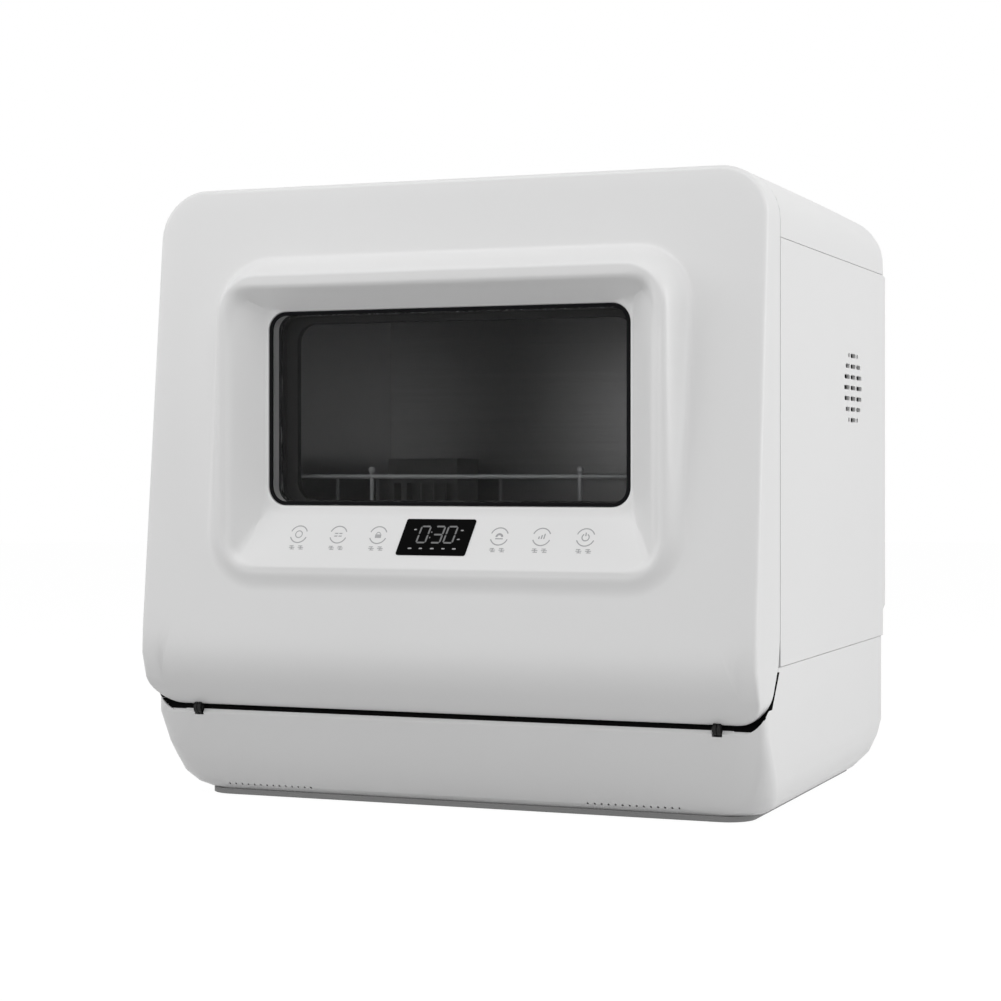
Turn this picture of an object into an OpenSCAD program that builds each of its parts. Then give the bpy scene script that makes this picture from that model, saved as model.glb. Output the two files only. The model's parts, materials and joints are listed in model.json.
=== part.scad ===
// Countertop dishwasher with a drop-down window door and a pull-out rack.
// Millimetres. +Z is up, the door faces -Y, the origin is under the middle of the body.

/* [Body] */
// Width over the side panels
body_w = 450; // [430:1:500]
// Depth from the window hood to the rear cover
body_d = 396; // [386:1:440]
// Height over the top front edge
body_h = 436; // [426:1:480]
// Drop of the top from front to back
top_drop = 10; // [0:0.5:12]
// Thickness of the moulded outer walls
wall = 2.5; // [2:0.1:3]
// Radius of the upper corners seen from the front
top_corner_r = 34; // [20:1:45]
// Radius of the upper rear edge
rear_edge_r = 36; // [20:1:45]
// Width of the line between two fixed outer pieces
seam_gap = 0.4; // [0.3:0.1:1.2]
// Depth of the rear cover's bulge
bulge_d = 16; // [14:0.5:24]
// Height of the flat strip under the bulge
bulge_z = 125; // [120:1:135]

/* [Base] */
// Height of the front lip of the base
lip_z = 63; // [58:1:66]
// Height of the base at the sides and back
base_z = 105; // [98:1:108]
// Setback of the lip behind the door's belly
lip_setback = 24.5; // [22:0.5:28]
// Setback of the base's lower front edge behind its lip
skirt_slant = 26; // [15:1:32]
// Height of the plinth under the base
plinth_h = 5; // [4:0.5:8]
// Inset of the plinth from the sides
plinth_inset = 21; // [20:1:40]
// Radius of the base's front corners seen from above
base_corner_r = 6; // [4:1:16]
// Radius of the rubber feet
foot_r = 12; // [8:0.5:14]
// Height of the feet below the plinth
foot_drop = 1; // [0.6:0.1:2]

/* [Door] */
// Depth of the door at its belly
door_d = 58.5; // [55:0.5:62]
// Angle by which the door's front leans back
door_lean = 5.75; // [3:0.25:7]
// Height of the door's belly
belly_z = 112; // [108:1:116]
// Radius of the belly
belly_r = 45; // [38:1:50]
// Gap between the base's lip and the door
door_gap = 6; // [5:0.25:8]
// Gap between the closed door and the body behind it
rear_gap = 1.5; // [1:0.1:2.5]
// Radius of the door's lower corners seen from the front
door_corner_r = 20; // [14:1:40]
// Thickness of the door's inner panel
liner_t = 3; // [2:0.1:4]
// Angle that the door opens to
door_open = 90; // [60:1:90]

/* [Window] */
// Width of the window opening
window_w = 267; // [220:1:280]
// Height of the window opening
window_h = 135.5; // [100:0.5:140]
// Height of the window's lower edge
window_z = 211; // [206:1:214]
// Radius of the window's corners
window_r = 13; // [6:1:20]
// Depth of the window behind the hood's crest
window_inset = 20.5; // [16:0.5:22]
// Width of the panel beside the window
panel_side = 23.5; // [16:0.5:28]
// Height of the soffit's front edge over the window
panel_top = 14.5; // [10:0.5:18]
// Height of the control panel under the window
panel_bottom = 47; // [40:1:49]
// Width of the hood's rounded rim
rim_w = 17; // [10:0.5:18]
// Thickness of the window glass
glass_t = 4; // [3:0.5:5]

/* [Chamber] */
// Space between the wash chamber and each side of the body
chamber_side = 39; // [39:1:60]
// Space behind the chamber for the tank and the ports
chamber_rear = 33.5; // [33.5:0.5:50]
// Height of the chamber's floor
floor_z = 120; // [118:1:124]
// Space between the chamber's ceiling and the top's front edge
chamber_top = 32; // [31:1:50]
// Thickness of the chamber's wall
tub_wall = 2; // [1.2:0.1:2.5]
// Radius of the chamber's corners
tub_r = 24; // [12:1:30]

/* [Rack] */
// Height of the rack's floor wires
rack_z = 142; // [140:1:150]
// Height of the rack's top rail
rail_z = 231; // [215:1:240]
// Thickness of the rack's wires
wire_d = 3.2; // [2.6:0.1:3.6]
// Gap between the rack and the chamber's sides
rack_side_gap = 20; // [18:1:30]
// Number of plate tines in a row
tine_count = 9; // [5:1:11]
// Height of the tines
tine_h = 52; // [30:1:60]

/* [Water] */
// Space between the spray arm's tips and the chamber's front and back
arm_space = 13; // [11:1:40]
// Radius of the sump
sump_r = 40; // [34:1:42]
// Radius of the filter cup
filter_r = 22; // [16:1:24]
// Radius of the inlet connector, a G 3/4 thread's outside
inlet_r = 13.2; // [12:0.1:13.2]
// Radius of the drain spigot
drain_r = 9.5; // [8:0.1:11]
// Radius of the bore in the cable gland
gland_bore_r = 4; // [3:0.1:5]
// Radius of the fill opening in the top
fill_r = 26; // [18:1:30]

/* [Fits] */
// Radial clearance between a pin and its bore
pin_fit = 0.06; // [0.02:0.01:0.1]
// Clearance between two pieces that move past each other
run_gap = 0.4; // [0.3:0.05:0.8]
// Clearance between a piece and the recess that it is set in
set_gap = 0.2; // [0.1:0.05:0.4]

/* [Hidden] */
$fn = 48;

// Main planes
half_w = body_w / 2;
front_y = -body_d / 2;
belly_y = front_y + 0.5;
back_y = body_d / 2;
flat_back_y = back_y - bulge_d;
seam_y = belly_y + door_d;
body_y = seam_y + rear_gap;
frame_t = 8;
tub_y = body_y + frame_t;
tub_back = flat_back_y - chamber_rear;
chamber_d = tub_back - tub_y;
chamber_w = body_w - 2 * chamber_side;
ceiling_z = body_h - chamber_top;
arm_reach = chamber_d / 2 - arm_space;
top_seam_z = body_h - 46;
lip_y = belly_y + lip_setback;
door_z = lip_z + door_gap;
frame_z = base_z + 4;

// Chamber and rack
tub_half = chamber_w / 2;
mouth_half = tub_half - 6;
mouth_z = floor_z + 5;
mouth_top = ceiling_z - 4;
hub_y = tub_y + chamber_d / 2;
rack_half = tub_half - rack_side_gap;
rack_front = body_y + 16;
rack_back = tub_back - 20;
stay_x = rack_half - 87;
sump_y = tub_back - 63;
wire = wire_d / 2;

// Hinge line of the door, in the gap between lip and door
hinge_y = lip_y + 1.5;
hinge_z = lip_z + 3.5;
hinge_x = half_w - 36;
hinge_pin_r = 2;
hinge_eye_r = 4.2;
hinge_plate_t = 2.5;

// Window hood
crest_y = front_y;
pane_y = crest_y + window_inset;
window_top = window_z + window_h;
window_half = window_w / 2;
recess_half = window_half + panel_side;
recess_top = window_top + panel_top;
recess_bottom = window_z - panel_bottom;
hood_half = recess_half + rim_w;
hood_top = recess_top + rim_w;
hood_bottom = recess_bottom - 5;
panel_wall = wall;

// Slope of the control panel under the window
slope_y0 = crest_y - 1;
slope_z0 = recess_bottom - 1;
slope_y1 = pane_y;
slope_z1 = window_z - 3;
slope_tilt = atan((slope_y1 - slope_y0) / (slope_z1 - slope_z0));

function unit(v) = v / norm(v);
function turn(a) = a > 180 ? a - 360 : a < -180 ? a + 360 : a;

// Arc of n steps round a centre
function arc(c, r, a0, a1, n) = [for (i = [0:n]) let (a = a0 + (a1 - a0) * i / n) c + r * [cos(a), sin(a)]];

// Rounds the corner b between a and c with radius r
function corner(a, b, c, r, n) = let (
    u = unit(a - b),
    v = unit(c - b),
    half = acos(u * v) / 2,
    d = r / tan(half),
    m = b + unit(u + v) * r / sin(half),
    p = b + u * d - m,
    q = b + v * d - m,
    a0 = atan2(p.y, p.x),
    sweep = turn(atan2(q.y, q.x) - a0)
) arc(m, r, a0, a0 + sweep, n);

// Outline through [x, y, radius] corners
function rounded(pts, n = 8) = let (k = len(pts)) [for (i = [0:k - 1]) let (
    a = pts[(i + k - 1) % k],
    b = pts[i],
    c = pts[(i + 1) % k]
) each (b[2] > 0 ? corner([a.x, a.y], [b.x, b.y], [c.x, c.y], b[2], n) : [[b.x, b.y]])];

// Rectangle with rounded corners, lower and upper radius
module plate(x0, x1, y0, y1, r, r_top = undef) {
    t = is_undef(r_top) ? r : r_top;
    polygon(rounded([[x0, y0, r], [x1, y0, r], [x1, y1, t], [x0, y1, t]]));
}

// Extrusions of a Y-Z, an X-Z and an X-Y outline
module span_x(x0, x1) {
    translate([x0, 0, 0]) rotate([90, 0, 90]) linear_extrude(x1 - x0) children();
}
module span_y(y0, y1) {
    translate([0, y1, 0]) rotate([90, 0, 0]) linear_extrude(y1 - y0) children();
}
module span_z(z0, z1) {
    translate([0, 0, z0]) linear_extrude(z1 - z0) children();
}
module block(x0, x1, y0, y1, z0, z1) {
    translate([x0, y0, z0]) cube([x1 - x0, y1 - y0, z1 - z0]);
}
module rod_x(x0, x1, y, z, r) {
    translate([x0, y, z]) rotate([0, 90, 0]) cylinder(r = r, h = x1 - x0);
}
module rod_y(y0, y1, x, z, r) {
    translate([x, y1, z]) rotate([90, 0, 0]) cylinder(r = r, h = y1 - y0);
}
module rod_z(z0, z1, x, y, r) {
    translate([x, y, z0]) cylinder(r = r, h = z1 - z0);
}
module both_sides() {
    children();
    mirror([1, 0, 0]) children();
}

// Height of the top cover's outside at a depth y
function top_at(y) = body_h - top_drop * (y - seam_y) / (flat_back_y - seam_y);
// Depth of the door's front face at a height z
function face_at(z) = belly_y + belly_r * (1 - cos(door_lean)) + (z - belly_z - belly_r * sin(door_lean)) * tan(door_lean);

// Base: a boat-shaped skirt that ends in the front lip, with a sloping deck behind it
module base_plate(z, y0, inset, y1, r, r_back, t) {
    w = half_w - inset - t;
    span_z(z, z + 0.01) plate(-w, w, y0 + t, y1 - t, max(r - t, 1), max(r_back - t, 1));
}
module base_hull(t) {
    foot_y = lip_y + skirt_slant;
    rear = flat_back_y;
    hull($fn = 32) {
        base_plate(plinth_h + t, foot_y + 7, 16, rear - 60, base_corner_r + 20, 40, t);
        base_plate(plinth_h + 4 + t, foot_y + 2, 9, rear - 34, base_corner_r + 16, 34, t);
        base_plate(plinth_h + 12 + t, foot_y - 4, 3.5, rear - 14, base_corner_r + 12, 24, t);
        base_plate(plinth_h + 24 + t, foot_y - 9.5, 1, rear - 4, base_corner_r + 8, 14, t);
        base_plate(plinth_h + 35 + t, foot_y - 15, 0, rear, base_corner_r + 4, 8, t);
        base_plate(lip_z - t, lip_y + t * 0.4, 0, rear, base_corner_r, 8, t);
        base_plate(base_z - 0.01, seam_y + t, 0, rear, base_corner_r, 8, t);
    }
}
// Horn at each side of the lip, under the door's rounded lower corner
module horn(t) {
    r = door_corner_r + 0.5 + t;
    c = [half_w - door_corner_r, lip_z + r - t];
    e = acos((half_w - t - c.x) / r);
    intersection() {
        span_y(lip_y + 1.4 * t, seam_y - 2) polygon(concat(
            arc(c, r, 279, 360 - e, 8),
            [[half_w - t, lip_z - t], [c.x, lip_z - t]]
        ));
        span_z(lip_z - 9, base_z) plate(t - half_w, half_w - t, lip_y + 1.4 * t, seam_y + 20, max(base_corner_r - t, 1), 1);
    }
}
module base_form(t) {
    union() {
        base_hull(t);
        both_sides() horn(t);
    }
}

post_x = tub_half - 36;
post_front = tub_y + 34;
post_back = tub_back - 26;

module base_tray() {
    tub_under = floor_z - tub_wall;
    color("white") {
        difference() {
            base_form(0);
            difference() {
                base_form(wall);
                block(-half_w, half_w, front_y, body_y + 0.5, base_z - 2 * wall, base_z + 1);
            }
            block(wall - half_w, half_w - wall, body_y + 2.5, flat_back_y - wall, base_z - 2 * wall, base_z + 1);
            rear_ports(set_gap);
            both_sides() hinge_slot();
            for (x = [-1, 1], i = [0:13]) {
                translate([x * (half_w - 88) - 12 + (i - 6.5) * 5, lip_y + skirt_slant, plinth_h + 4.2])
                    rotate([90, 0, 0]) cylinder(r = 0.8, h = 24, center = true, $fn = 16);
            }
        }
        for (x = [-post_x, post_x], y = [post_front, post_back]) {
            rod_z(plinth_h + wall - 0.5, tub_under, x, y, 6);
        }
        for (x = [tank_left + 84, tank_right - 60]) {
            block(x - 8, x + 8, tub_back + 4, flat_back_y - wall - 11, plinth_h + 20, tank_bottom);
            block(x - 8, x + 8, flat_back_y - wall - 12, flat_back_y - 1, plinth_h + 40, plinth_h + 90);
        }
    }
}

// Black strip on the base's deck, behind its lip and between the horns
module deck_strip() {
    n = unit([lip_z - base_z, seam_y - lip_y]);
    a = [lip_y, lip_z];
    d = [seam_y - lip_y, base_z - lip_z];
    w = half_w - door_corner_r - 2;
    color("black") difference() {
        intersection() {
            span_x(-w, w) polygon([a + n * 0.02, a + d + n * 0.02, a + d + n * 0.62, a + n * 0.62]);
            block(-half_w, half_w, lip_y + 2, seam_y - 3, 0, body_h);
        }
        both_sides() hinge_slot();
    }
}

// Openings through the base for the hinges
module hinge_slot() {
    block(hinge_x - 1, hinge_x + 6, lip_y - 4, lip_y + 10, hinge_z - 5.2, hinge_z + 16);
}

// Connectors on the lower back, at one height
port_z = plinth_h + 58;
inlet_x = half_w - 75;
drain_x = half_w - 125;
gland_x = 75 - half_w;
collar = 2;
neck_start = flat_back_y + 2;
module rear_ports(t) {
    rod_y(flat_back_y - 12, flat_back_y + 5, inlet_x, port_z, inlet_r + collar + t);
    rod_y(flat_back_y - 12, flat_back_y + 5, drain_x, port_z, drain_r + collar + t);
    rod_y(flat_back_y - 12, flat_back_y + 5, gland_x, port_z, gland_bore_r + 4 + t);
}

foot_x = half_w - plinth_inset - 32;
foot_front = lip_y + skirt_slant + 36;
foot_back = flat_back_y - 52;
module foot_places() {
    for (x = [-foot_x, foot_x], y = [foot_front, foot_back]) {
        translate([x, y, 0]) children();
    }
}

module plinth() {
    w = half_w - plinth_inset;
    color("dimgray") difference() {
        span_z(foot_drop, plinth_h) plate(-w, w, lip_y + skirt_slant + 5, flat_back_y - 17, 20);
        foot_places() translate([0, 0, -1]) cylinder(r = foot_r + set_gap, h = foot_drop + 2.5);
    }
}

module feet() {
    color("black") foot_places() union() {
        cylinder(r = foot_r - 2, h = 1);
        translate([0, 0, 0.8]) cylinder(r = foot_r, h = foot_drop + 0.6);
    }
}

// Flat outer side, between the two side seams
module side_panel() {
    span_x(half_w - wall, half_w)
        plate(body_y, flat_back_y, base_z + seam_gap, top_seam_z - seam_gap, 1);
}
module side_panel_left() {
    color("white") mirror([1, 0, 0]) side_panel();
}

// Centre of the air vent in the right side
vent_y = hub_y + 67;
vent_z = 297;
module side_panel_right() {
    color("white") difference() {
        side_panel();
        for (row = [-3:3]) {
            reach = sqrt(29 * 29 - 64 * row * row);
            translate([0, vent_y, vent_z + row * 8]) span_x(half_w - wall - 1, half_w + 1) {
                plate(-8, 8, -1.6, 1.6, 1.5);
                plate(11, max(reach, 15), -1.6, 1.6, 1.5);
                plate(-max(reach, 15), -11, -1.6, 1.6, 1.5);
            }
        }
    }
}

// Top cover: the cap over the chamber, with the finger scoop at its front
module cap_form(t) {
    intersection() {
        span_x(-half_w, half_w) polygon(rounded([
            [body_y, top_seam_z - 20, 0],
            [flat_back_y - t, top_seam_z - 20, 0],
            [flat_back_y - t, top_at(flat_back_y) - t, rear_edge_r - t],
            [body_y, top_at(body_y) - t, 0]
        ]));
        span_y(body_y - 1, flat_back_y + 1)
            plate(t - half_w, half_w - t, top_seam_z - 30, body_h - t, 1, top_corner_r - t);
    }
}
scoop_half = 52;
scoop_d = 26;
scoop_h = 16;
fill_x = 115 - half_w;
fill_y = hub_y + 92;
module top_cover() {
    color("white") difference() {
        union() {
            difference() {
                cap_form(0);
                cap_form(wall);
            }
            block(-scoop_half - wall, scoop_half + wall, body_y, body_y + scoop_d + wall,
                body_h - scoop_h - wall, top_at(body_y + scoop_d + wall) - 0.5);
        }
        block(-half_w - 1, half_w + 1, body_y - 1, flat_back_y + 1, 0, top_seam_z);
        block(-scoop_half, scoop_half, body_y - 1, body_y + scoop_d, body_h - scoop_h, body_h + 1);
        rod_z(top_seam_z, body_h + 1, fill_x, fill_y, fill_r + 6 + set_gap);
    }
}

// Rear cover: a flat strip over the ports and a bulge over the tank
module rear_outline(t) {
    polygon(rounded([
        [flat_back_y - wall - (t > 0 ? 1 : 0), bulge_z + t, 0],
        [flat_back_y - t + 4, bulge_z + t, 0],
        [back_y - t, bulge_z + t + 6, 6],
        [back_y - t, top_seam_z - seam_gap - t, 8],
        [flat_back_y - wall - (t > 0 ? 1 : 0), top_seam_z - seam_gap - t, 0]
    ]));
}
module rear_cover() {
    w = half_w - wall - set_gap;
    bw = half_w - 1;
    color("white") difference() {
        union() {
            intersection() {
                span_x(-bw, bw) rear_outline(0);
                span_z(0, body_h) plate(-bw, bw, 0, back_y, 1, 4);
            }
            block(-w, w, flat_back_y - wall, flat_back_y, base_z + seam_gap, bulge_z + 1);
        }
        span_x(wall - bw, bw - wall) rear_outline(wall);
        both_sides() block(w, half_w + 1, 0, flat_back_y + set_gap, 0, body_h);
        for (x = rear_screws) {
            rod_y(flat_back_y - wall - 1, flat_back_y + 1, x, screw_z, 1.7);
        }
        for (i = [-4:4]) {
            span_y(back_y - wall - 1, back_y + 1) translate([120 + i * 9, 0])
                plate(-1.5, 1.5, top_seam_z - 90, top_seam_z - 40, 1.4);
        }
    }
}
rear_screws = [for (i = [-1.5:1:1.5]) i * (body_w - 150) / 3];
screw_z = (base_z + bulge_z) / 2;
module screws() {
    color("silver") for (x = rear_screws) {
        rod_y(flat_back_y, flat_back_y + 2, x, screw_z, 3.4);
        rod_y(flat_back_y - 9, flat_back_y + 1, x, screw_z, 1.5);
    }
}

// Front frame: carries the chamber's mouth and the seal
module frame_outline() {
    w = half_w - wall - set_gap;
    plate(-w, w, frame_z, top_at(tub_y) - wall - set_gap, 2, top_corner_r - wall - set_gap);
}
seal_w = 9;
module front_frame() {
    color("gainsboro") difference() {
        span_y(body_y + set_gap, tub_y) frame_outline();
        span_y(body_y - 1, tub_y + 1) plate(-mouth_half, mouth_half, mouth_z, mouth_top, tub_r);
        span_y(body_y - 1, body_y + 4) seal_ring(set_gap);
        block(-scoop_half - wall - set_gap, scoop_half + wall + set_gap, body_y - 1, tub_y + 1,
            body_h - scoop_h - wall - set_gap, body_h);
        block(lock_x - 4, lock_x + 4, body_y - 1, tub_y + 1, strike_z - strike_half - 1.2, strike_z + 12);
    }
}
module seal_ring(g) {
    o = mouth_half + seal_w + 2 + g;
    i = mouth_half + 2 - g;
    difference() {
        plate(-o, o, mouth_z - seal_w - 2 - g, mouth_top + seal_w + 2 + g, tub_r + seal_w + 2);
        plate(-i, i, mouth_z - 2 + g, mouth_top + 2 - g, tub_r + 2);
    }
}
module door_seal() {
    color("darkgray") {
        span_y(seam_y + 0.3, body_y + 4 - set_gap) seal_ring(0);
    }
}

// Tub: the wash chamber, open to the front
module tub() {
    o = tub_half + tub_wall;
    color("silver") difference() {
        span_y(tub_y, tub_back + tub_wall)
            plate(-o, o, floor_z - tub_wall, ceiling_z + tub_wall, tub_r + tub_wall);
        span_y(tub_y - 1, tub_back) plate(-tub_half, tub_half, floor_z, ceiling_z, tub_r);
        rod_z(floor_z - tub_wall - 1, floor_z + 1, 0, sump_y, sump_r - 2);
        rod_z(floor_z - tub_wall - 1, floor_z + 1, 0, hub_y, hub_r + set_gap);
        rod_z(floor_z - tub_wall - 1, floor_z + 1, float_x, float_y, 3 + run_gap);
        rod_z(ceiling_z - 1, ceiling_z + tub_wall + 1, 0, hub_y, 6 + set_gap);
        for (dz = [-16, 0, 16]) {
            rod_x(tub_half - 1, tub_half + tub_wall + 1, vent_y + dz, vent_z, 4);
        }
    }
}

// Rails on the chamber's sides, in which the rack's glides run
rail_mid = rack_z + 30;
glide_h = 9;
module rack_rails() {
    x1 = tub_half;
    color("lightgray") both_sides() difference() {
        block(x1 - 14, x1, tub_y + 4, tub_back - 8, rail_mid - glide_h / 2 - 3, rail_mid + glide_h / 2 + 3);
        block(x1 - 15, x1 - 3, tub_y + 3, tub_back - 12, rail_mid - glide_h / 2 - run_gap, rail_mid + glide_h / 2 + run_gap);
        block(x1 - 15, x1 - 12, tub_y + 3, tub_back, rail_mid - glide_h / 2 - 4, rail_mid + glide_h / 2 + 4);
    }
}

// Sump under the chamber, with its filters and heater
sump_floor = 34;
module sump() {
    color("dimgray") difference() {
        union() {
            rod_z(sump_floor, floor_z - tub_wall, 0, sump_y, sump_r + 3);
            rod_z(floor_z - tub_wall - 4, floor_z - tub_wall, 0, sump_y, sump_r + 9);
            rod_x(0, wash_x - set_gap, sump_y, wash_z, 9);
            rod_x(drain_pump_x + set_gap, 0, sump_y, drain_z, 7);
        }
        rod_z(sump_floor + 3, floor_z, 0, sump_y, sump_r);
        rod_x(sump_r - 5, wash_x, sump_y, wash_z, 7);
        rod_x(drain_pump_x, 5 - sump_r, sump_y, drain_z, 5);
        hub_bolt();
    }
}
module hub_bolt() {
    rod_z(floor_z - tub_wall - 5, floor_z, 0, hub_y, hub_r + 4);
}
module filter_plate() {
    color("silver") difference() {
        union() {
            rod_z(floor_z - 1.2, floor_z, 0, sump_y, sump_r - 2 - set_gap);
            rod_z(floor_z - tub_wall - 3, floor_z - 1, 0, sump_y, filter_r + 3);
        }
        rod_z(floor_z - 10, floor_z + 1, 0, sump_y, filter_r + run_gap);
        for (i = [0:17]) {
            a = i * 20;
            r = (filter_r + 3 + sump_r - 2) / 2;
            rod_z(floor_z - 4, floor_z + 1, r * cos(a), sump_y + r * sin(a), 1.8);
        }
    }
}
module filter_cup() {
    color("gray") difference() {
        union() {
            rod_z(sump_floor + 8, floor_z, 0, sump_y, filter_r);
            block(-filter_r + 4, filter_r - 4, sump_y - 2, sump_y + 2, floor_z - 3, floor_z + 2);
            rod_z(floor_z - 0.01, floor_z + 1.2, 0, sump_y, filter_r);
        }
        difference() {
            rod_z(sump_floor + 10, floor_z + 3, 0, sump_y, filter_r - 2);
            block(-filter_r, filter_r, sump_y - 2, sump_y + 2, floor_z - 3, floor_z + 4);
        }
    }
}
module heater() {
    color("darkslategray") {
        translate([0, sump_y, sump_floor + 6.4]) rotate_extrude() translate([(filter_r + sump_r) / 2 + 1, 0]) circle(r = 3);
        for (x = [-6, 6]) {
            rod_z(sump_floor + 3, sump_floor + 5, x, sump_y + (filter_r + sump_r) / 2 + 1, 2.2);
        }
    }
}

// Spray arm on its hub, and the fixed nozzle in the ceiling
hub_r = 9;
arm_z = floor_z + 5;
module spray_hub() {
    color("gray") difference() {
        union() {
            rod_z(floor_z - 34, arm_z - run_gap, 0, hub_y, hub_r);
            rod_z(floor_z, arm_z - run_gap, 0, hub_y, hub_r + 4);
            rod_z(arm_z - 1, arm_z + 8, 0, hub_y, 5);
        }
        rod_z(floor_z - 36, arm_z + 2, 0, hub_y, 4);
    }
}
module spray_arm() {
    color("silver") difference() {
        union() {
            rod_z(arm_z, arm_z + 9, 0, hub_y, 15);
            for (a = [0, 180]) {
                translate([0, hub_y, arm_z + 1]) rotate([0, 0, 20 + a]) span_z(0, 7)
                    polygon(rounded([[0, -11, 0], [arm_reach, -8, 7], [arm_reach, 8, 7], [0, 11, 0]]));
            }
        }
        rod_z(arm_z - 1, arm_z + 10, 0, hub_y, 5 + pin_fit);
        for (a = [0, 180], i = [1:6]) {
            translate([0, hub_y, arm_z + 4]) rotate([0, 0, 20 + a]) translate([18 + i * 16, 0, 0]) cylinder(r = 1.4, h = 6);
        }
    }
}
module top_nozzle() {
    color("gray") difference() {
        union() {
            rod_z(ceiling_z - 7, ceiling_z, 0, hub_y, 15);
            rod_z(ceiling_z - 2, ceiling_z + tub_wall + 8, 0, hub_y, 6);
        }
        rod_z(ceiling_z - 4, ceiling_z + tub_wall + 9, 0, hub_y, 4);
        for (i = [0:5]) {
            rod_z(ceiling_z - 8, ceiling_z - 1, 9 * cos(i * 60), hub_y + 9 * sin(i * 60), 1.3);
        }
    }
}

// A pump: a round housing, its motor behind it and its impeller inside; it lies along X
module pump_body(x, y, z, r, w, motor_r, motor_l) {
    difference() {
        union() {
            rod_x(x, x + w, y, z, r);
            rod_x(x + w, x + w + motor_l, y, z, motor_r);
            block(x + w + 4, x + w + motor_l - 4, y - motor_r * 0.7, y + motor_r * 0.7, plinth_h + wall, z - motor_r * 0.6);
        }
        rod_x(x + 2.5, x + w - 2.5, y, z, r - 2.5);
        rod_x(x - 1, x + 3, y, z, 7);
        rod_x(x + w - 3, x + w + 6, y, z, 2.5 + pin_fit);
        rod_z(z + r - 5, z + r + 1, x + w / 2, y, 5);
    }
}
module impeller(x, y, z, r, w) {
    rod_x(x + 2.5 + run_gap, x + 5, y, z, r);
    rod_x(x + 4, x + w + 3, y, z, 2.5);
    for (i = [0:5]) {
        translate([x + 4.5, y, z]) rotate([i * 60, 0, 0]) block(0, w - 7.5, -1, 1, 2, r - 0.5);
    }
}
wash_x = 56;
wash_z = 48;
drain_pump_x = -56;
drain_z = 48;
module wash_pump() {
    color("dimgray") pump_body(wash_x, sump_y, wash_z, 26, 18, 22, 52);
}
module wash_impeller() {
    color("orange") impeller(wash_x, sump_y, wash_z, 21, 18);
}
module drain_pump() {
    color("dimgray") mirror([1, 0, 0]) pump_body(-drain_pump_x, sump_y, drain_z, 20, 15, 16, 36);
}
module drain_impeller() {
    color("orange") mirror([1, 0, 0]) impeller(-drain_pump_x, sump_y, drain_z, 15.5, 15);
}

// Rigid pipes between sump, pumps, hub and ports
module pump_hoses() {
    feed_z = wash_z + 26 + set_gap;
    back_y0 = tub_back - 18;
    right = drain_x + 6;
    color("black") union() {
        block(wash_x + 3, wash_x + 15, hub_y - 6, sump_y + 6, feed_z, feed_z + 10);
        block(-6, wash_x + 15, hub_y - 6, hub_y + 6, feed_z, feed_z + 10);
        rod_z(feed_z + 9, floor_z - 34 - set_gap, 0, hub_y, 7);
    }
    color("black") union() {
        block(drain_pump_x - 13, drain_pump_x - 2, sump_y - 5, sump_y + 5, drain_z + 20 + set_gap, drain_z + 44);
        block(drain_pump_x - 13, drain_pump_x - 2, sump_y - 5, back_y0 + 10, drain_z + 36, drain_z + 44);
        block(drain_pump_x - 13, right, back_y0, back_y0 + 10, drain_z + 36, drain_z + 44);
        block(right - 12, right, back_y0, flat_back_y - 40 - set_gap, port_z - 6, drain_z + 44);
    }
    color("black") union() {
        block(-30, -20, sump_y + 39, tub_back + 13, base_z - 9, base_z - 1);
        block(-30, -20, tub_back + 4, tub_back + 13, base_z - 9, tank_bottom - set_gap);
    }
    color("black") union() {
        block(inlet_x - 4, inlet_x + 4, tub_back + 6, tub_back + 14, port_z + 20 + set_gap, port_z + 90);
        block(tank_right + set_gap, inlet_x + 4, tub_back + 6, tub_back + 14, port_z + 82, port_z + 90);
    }
}

// Ports on the lower back
module inlet_valve() {
    color("dimgray") difference() {
        union() {
            rod_y(neck_start - 1, back_y - 2, inlet_x, port_z, inlet_r);
            rod_y(flat_back_y - wall, neck_start, inlet_x, port_z, inlet_r + collar);
            rod_y(flat_back_y - wall - 4, flat_back_y - wall, inlet_x, port_z, inlet_r + 6);
            block(inlet_x - 15, inlet_x + 15, flat_back_y - 46, flat_back_y - wall - 3, port_z - 14, port_z + 20);
        }
        rod_y(flat_back_y - 30, back_y, inlet_x, port_z, 9);
    }
}
module drain_outlet() {
    color("dimgray") difference() {
        union() {
            rod_y(flat_back_y - 40, flat_back_y - wall, drain_x, port_z, drain_r - 0.5);
            rod_y(neck_start - 1, back_y - 2, drain_x, port_z, drain_r);
            rod_y(flat_back_y - wall, neck_start, drain_x, port_z, drain_r + collar);
            rod_y(flat_back_y - wall - 3, flat_back_y - wall, drain_x, port_z, drain_r + 6);
        }
        rod_y(flat_back_y - 41, back_y, drain_x, port_z, drain_r - 2.5);
    }
}
module cable_gland() {
    color("black") difference() {
        union() {
            rod_y(flat_back_y - 10, back_y - 6, gland_x, port_z, gland_bore_r + 4);
            rod_y(flat_back_y, flat_back_y + 4, gland_x, port_z, gland_bore_r + 8);
            rod_y(flat_back_y - wall - 4, flat_back_y - wall, gland_x, port_z, gland_bore_r + 8);
        }
        rod_y(flat_back_y - 11, back_y, gland_x, port_z, gland_bore_r);
    }
}

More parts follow.
